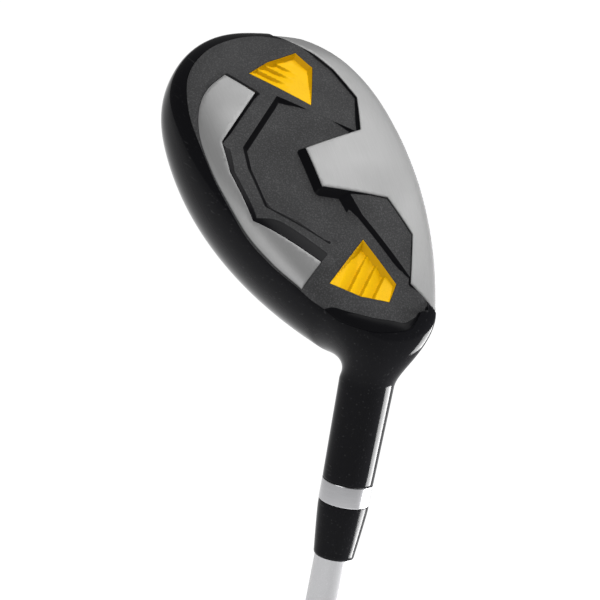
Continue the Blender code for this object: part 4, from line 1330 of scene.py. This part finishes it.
class CLUB_OT_shaft(bpy.types.Operator):
    """Tapered shaft from the bore of the hosel to the end of the grip"""
    bl_idname = "club.shaft"
    bl_label = "Shaft"

    def execute(self, context):
        silver = context.scene.club_finishes.shaft_silver
        tip = up_shaft(TIP_END)
        straight = up_shaft(TIP_STRAIGHT)
        outer = [(TIP_RADIUS * MM - 0.0004, tip), (TIP_RADIUS * MM, tip - 0.0006)]
        levels = [mix(tip - 0.0006, SHAFT_BUTT, step / SHAFT_STEPS)
                  for step in range(1, SHAFT_STEPS + 1)]
        outer += [(shaft_radius(level), level) for level in levels]
        bore = (TIP_RADIUS - TIP_WALL) * MM
        inner = [(shaft_radius(SHAFT_BUTT) - 0.0012, SHAFT_BUTT), (bore, straight), (bore, tip)]
        finish = grained("shaft_silver", silver, speck=scaled(silver, 1.2), scale=5200.0,
                         specks=(0.5, 0.75), clean=0.30, smudged=0.33, metallic=0.35, bump=0.01,
                         drift=0.02)
        settle(revolve("tapered_shaft", outer + inner, finish), "shaft_paint", "shaft_tube")
        return {"FINISHED"}


class CLUB_OT_grip(bpy.types.Operator):
    """Moulded rubber grip with its end cap"""
    bl_idname = "club.grip"
    bl_label = "Grip"

    def execute(self, context):
        sizes = context.scene.club_shaft
        black = context.scene.club_finishes.grip_black
        low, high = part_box("grip_sleeve")
        low, top = low.z, high.z
        finish = grained("grip_rubber", black, speck=scaled(black, 1.7), scale=1500.0,
                         specks=(0.5, 0.75), clean=0.62, smudged=0.78, bump=0.25)
        corners = [(radius, top - drop) for radius, drop in GRIP_MOUTH]
        corners += [(radius, low + rise) for radius, rise in GRIP_END]
        outer = []
        for (radius, level), (next_radius, next_level) in zip(corners, corners[1:]):
            steps = max(1, round((level - next_level) / GRIP_RING))
            outer += [(mix(radius, next_radius, step / steps), mix(level, next_level, step / steps))
                      for step in range(steps)]
        outer.append(corners[-1])
        inner = [(shaft_radius(level) + TAPE_ROOM, level) for level in (low, top)]
        start, stop = low + GROOVE_START, top - GROOVE_STOP

        def moulded(radius, level, angle):
            if radius < BORE_MOST or not start < level < stop:
                return radius
            fade = float(bounded(min(level - start, stop - level) / GROOVE_FADE))
            turn = angle * GROOVE_STARTS / (2.0 * math.pi)
            pitch = sizes.groove_pitch
            first = abs((level / pitch + turn) % 1.0 - 0.5)
            second = abs((level / pitch - turn) % 1.0 - 0.5)
            groove = max(0.0, 1.0 - min(first, second) / GROOVE_SHARE)
            return radius - sizes.groove_depth * ease(groove) * fade

        sleeve = revolve("moulded_grip", outer + inner, finish, shape=moulded, sharp=60.0)
        settle(sleeve, "grip_rubber", "grip_sleeve")
        cap_low, cap_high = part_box("grip_cap")
        radius = cap_high.x
        cap = rounded([(0.0012, cap_high.z), (radius, cap_high.z), (radius, cap_low.z),
                       (radius - 0.0045, cap_low.z), (radius - 0.0052, cap_low.z + 0.0004),
                       (0.0022, cap_low.z + 0.0004), (0.0012, cap_low.z + 0.0008)],
                      (0.0, 0.0004, 0.0012, 0.0003, 0.0003, 0.0004, 0.0003))
        settle(revolve("end_cap", cap, finish), "grip_rubber", "grip_cap")
        return {"FINISHED"}


class CLUB_OT_inner_pieces(bpy.types.Operator):
    """Finishes of the pieces hidden in the head, the hosel and the grip"""
    bl_idname = "club.inner_pieces"
    bl_label = "Inner Pieces"

    def execute(self, context):
        finishes = {
            "weight_pad": grained("weight_casting", (0.22, 0.22, 0.23), (0.32, 0.32, 0.33), 900.0,
                                  (0.45, 0.7), 0.5, 0.65, metallic=0.9),
            "tip_weight": drawn("tip_brass", (0.60, 0.42, 0.16), (1.0, 1.0, 30.0), 300.0, 0.28, 0.4,
                                1.0),
            "melt_bead": lacquered("melt_glue", (0.60, 0.42, 0.15), 0.3, 0.4),
            "bore_plug": lacquered("plug_plastic", (0.02, 0.02, 0.02), 0.35, 0.5),
            "grip_tape": grained("paper_tape", (0.66, 0.62, 0.50), (0.72, 0.69, 0.58), 1100.0,
                                 (0.4, 0.7), 0.8, 0.9),
        }
        for name, finish in finishes.items():
            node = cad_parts[name]
            node.data.materials.clear()
            node.data.materials.append(finish)
        return {"FINISHED"}


# ---------------------------------------------------------------- stage

# The camera's axes in the head's frame, and where it aims, in millimetres across and up
VIEW_RIGHT = Vector((-0.2935, 0.879, -0.376))
VIEW_UP = Vector((0.771, -0.015, -0.636))
VIEW_BACK = Vector((-0.5655, -0.477, -0.673))
VIEW_SHIFT = (-21.8, -7.8)
SENSOR_WIDTH = 36.0
FLOOR_HALF = 60.0
FLOOR_STEPS = 120


class CLUB_OT_stage(bpy.types.Operator):
    """Pale floor, soft lights and the camera"""
    bl_idname = "club.stage"
    bl_label = "Stage"

    def execute(self, context):
        scene = context.scene
        stage = scene.club_stage
        turn = HEAD_PLACE.to_3x3()
        right, up, back = ((turn @ axis).normalized() for axis in (VIEW_RIGHT, VIEW_UP, VIEW_BACK))
        right = up.cross(back).normalized()
        up = back.cross(right)
        head = HEAD_PLACE.translation
        aim = head + right * VIEW_SHIFT[0] * MM + up * VIEW_SHIFT[1] * MM
        lens = bpy.data.cameras.new("camera")
        lens.sensor_width = SENSOR_WIDTH
        lens.lens = SENSOR_WIDTH * stage.view_distance / stage.view_width
        lens.clip_end = 200.0
        camera = link_new("camera", lens)
        spot = aim + back * stage.view_distance
        camera.matrix_world = Matrix(((right.x, up.x, back.x, spot.x),
                                      (right.y, up.y, back.y, spot.y),
                                      (right.z, up.z, back.z, spot.z), (0.0, 0.0, 0.0, 1.0)))
        scene.camera = camera

        half, steps = FLOOR_HALF, FLOOR_STEPS
        corners = [(mix(-half, half, column / steps), mix(-half, half, row / steps), 0.0)
                   for row in range(steps + 1) for column in range(steps + 1)]
        tiles = [(row * (steps + 1) + column, row * (steps + 1) + column + 1,
                  (row + 1) * (steps + 1) + column + 1, (row + 1) * (steps + 1) + column)
                 for row in range(steps) for column in range(steps)]
        mesh = bpy.data.meshes.new("floor")
        mesh.from_pydata(corners, [], tiles)
        paper, _, shader = start_finish("floor_paper", 0.0)
        shader.inputs["Base Color"].default_value = with_alpha(stage.floor)
        shader.inputs["Roughness"].default_value = 0.9
        shader.inputs["Emission Color"].default_value = (1.0, 1.0, 1.0, 1.0)
        shader.inputs["Emission Strength"].default_value = stage.glow
        mesh.materials.append(paper)
        link_new("floor", mesh)

        world = bpy.data.worlds.new("room")
        world.use_nodes = True
        sky = world.node_tree.nodes["Background"]
        sky.inputs["Color"].default_value = (1.0, 1.0, 1.0, 1.0)
        sky.inputs["Strength"].default_value = stage.fill
        scene.world = world
        scene.view_settings.view_transform = "Standard"

        # name, direction from the head, distance, size and power
        lamps = [("key_light", Vector((0.15, -0.48, 0.87)), 1.6, (1.3, 1.3), stage.key),
                 ("side_light", right * 0.84 - up * 0.36 - back * 0.40, 1.0, (0.55, 0.4),
                  stage.side),
                 ("left_light", back * 0.87 - right * 0.45 + up * 0.2, 1.4, (0.9, 0.9),
                  stage.side * 0.28)]
        for name, direction, distance, size, power in lamps:
            light = bpy.data.lights.new(name, "AREA")
            light.shape = "RECTANGLE"
            light.size, light.size_y = size
            light.energy = power
            lamp = link_new(name, light)
            direction = direction.normalized()
            lamp.location = head + direction * distance
            lamp.rotation_mode = "QUATERNION"
            lamp.rotation_quaternion = (-direction).to_track_quat("-Z", "Y")
        return {"FINISHED"}


# ---------------------------------------------------------------- add-on

STEPS = (CLUB_OT_stage, CLUB_OT_cast_head, CLUB_OT_face, CLUB_OT_sole_insert, CLUB_OT_sole_plates,
         CLUB_OT_inlays, CLUB_OT_ferrule, CLUB_OT_shaft, CLUB_OT_grip, CLUB_OT_inner_pieces)
SETTINGS = {"club_head": HeadSizes, "club_shaft": ShaftSizes, "club_finishes": Finishes,
            "club_stage": StageSettings}


class CLUB_PT_panel(bpy.types.Panel):
    """Settings and pieces of the club"""
    bl_idname = "CLUB_PT_panel"
    bl_label = "Hybrid Golf Club"
    bl_space_type = "VIEW_3D"
    bl_region_type = "UI"
    bl_category = "Club"

    def draw(self, context):
        for name, group in SETTINGS.items():
            box = self.layout.box()
            settings = getattr(context.scene, name)
            for key in group.__annotations__:
                box.prop(settings, key)
        for step in STEPS:
            self.layout.operator(step.bl_idname)


def register():
    for cls in (*SETTINGS.values(), *STEPS, CLUB_PT_panel):
        bpy.utils.register_class(cls)
    for name, group in SETTINGS.items():
        setattr(bpy.types.Scene, name, bpy.props.PointerProperty(type=group))


def unregister():
    for name in SETTINGS:
        delattr(bpy.types.Scene, name)
    for cls in (CLUB_PT_panel, *reversed(STEPS), *reversed(list(SETTINGS.values()))):
        bpy.utils.unregister_class(cls)


def main():
    register()
    for step in STEPS:
        group, name = step.bl_idname.split(".")
        getattr(getattr(bpy.ops, group), name)()


if __name__ == "__main__":
    main()
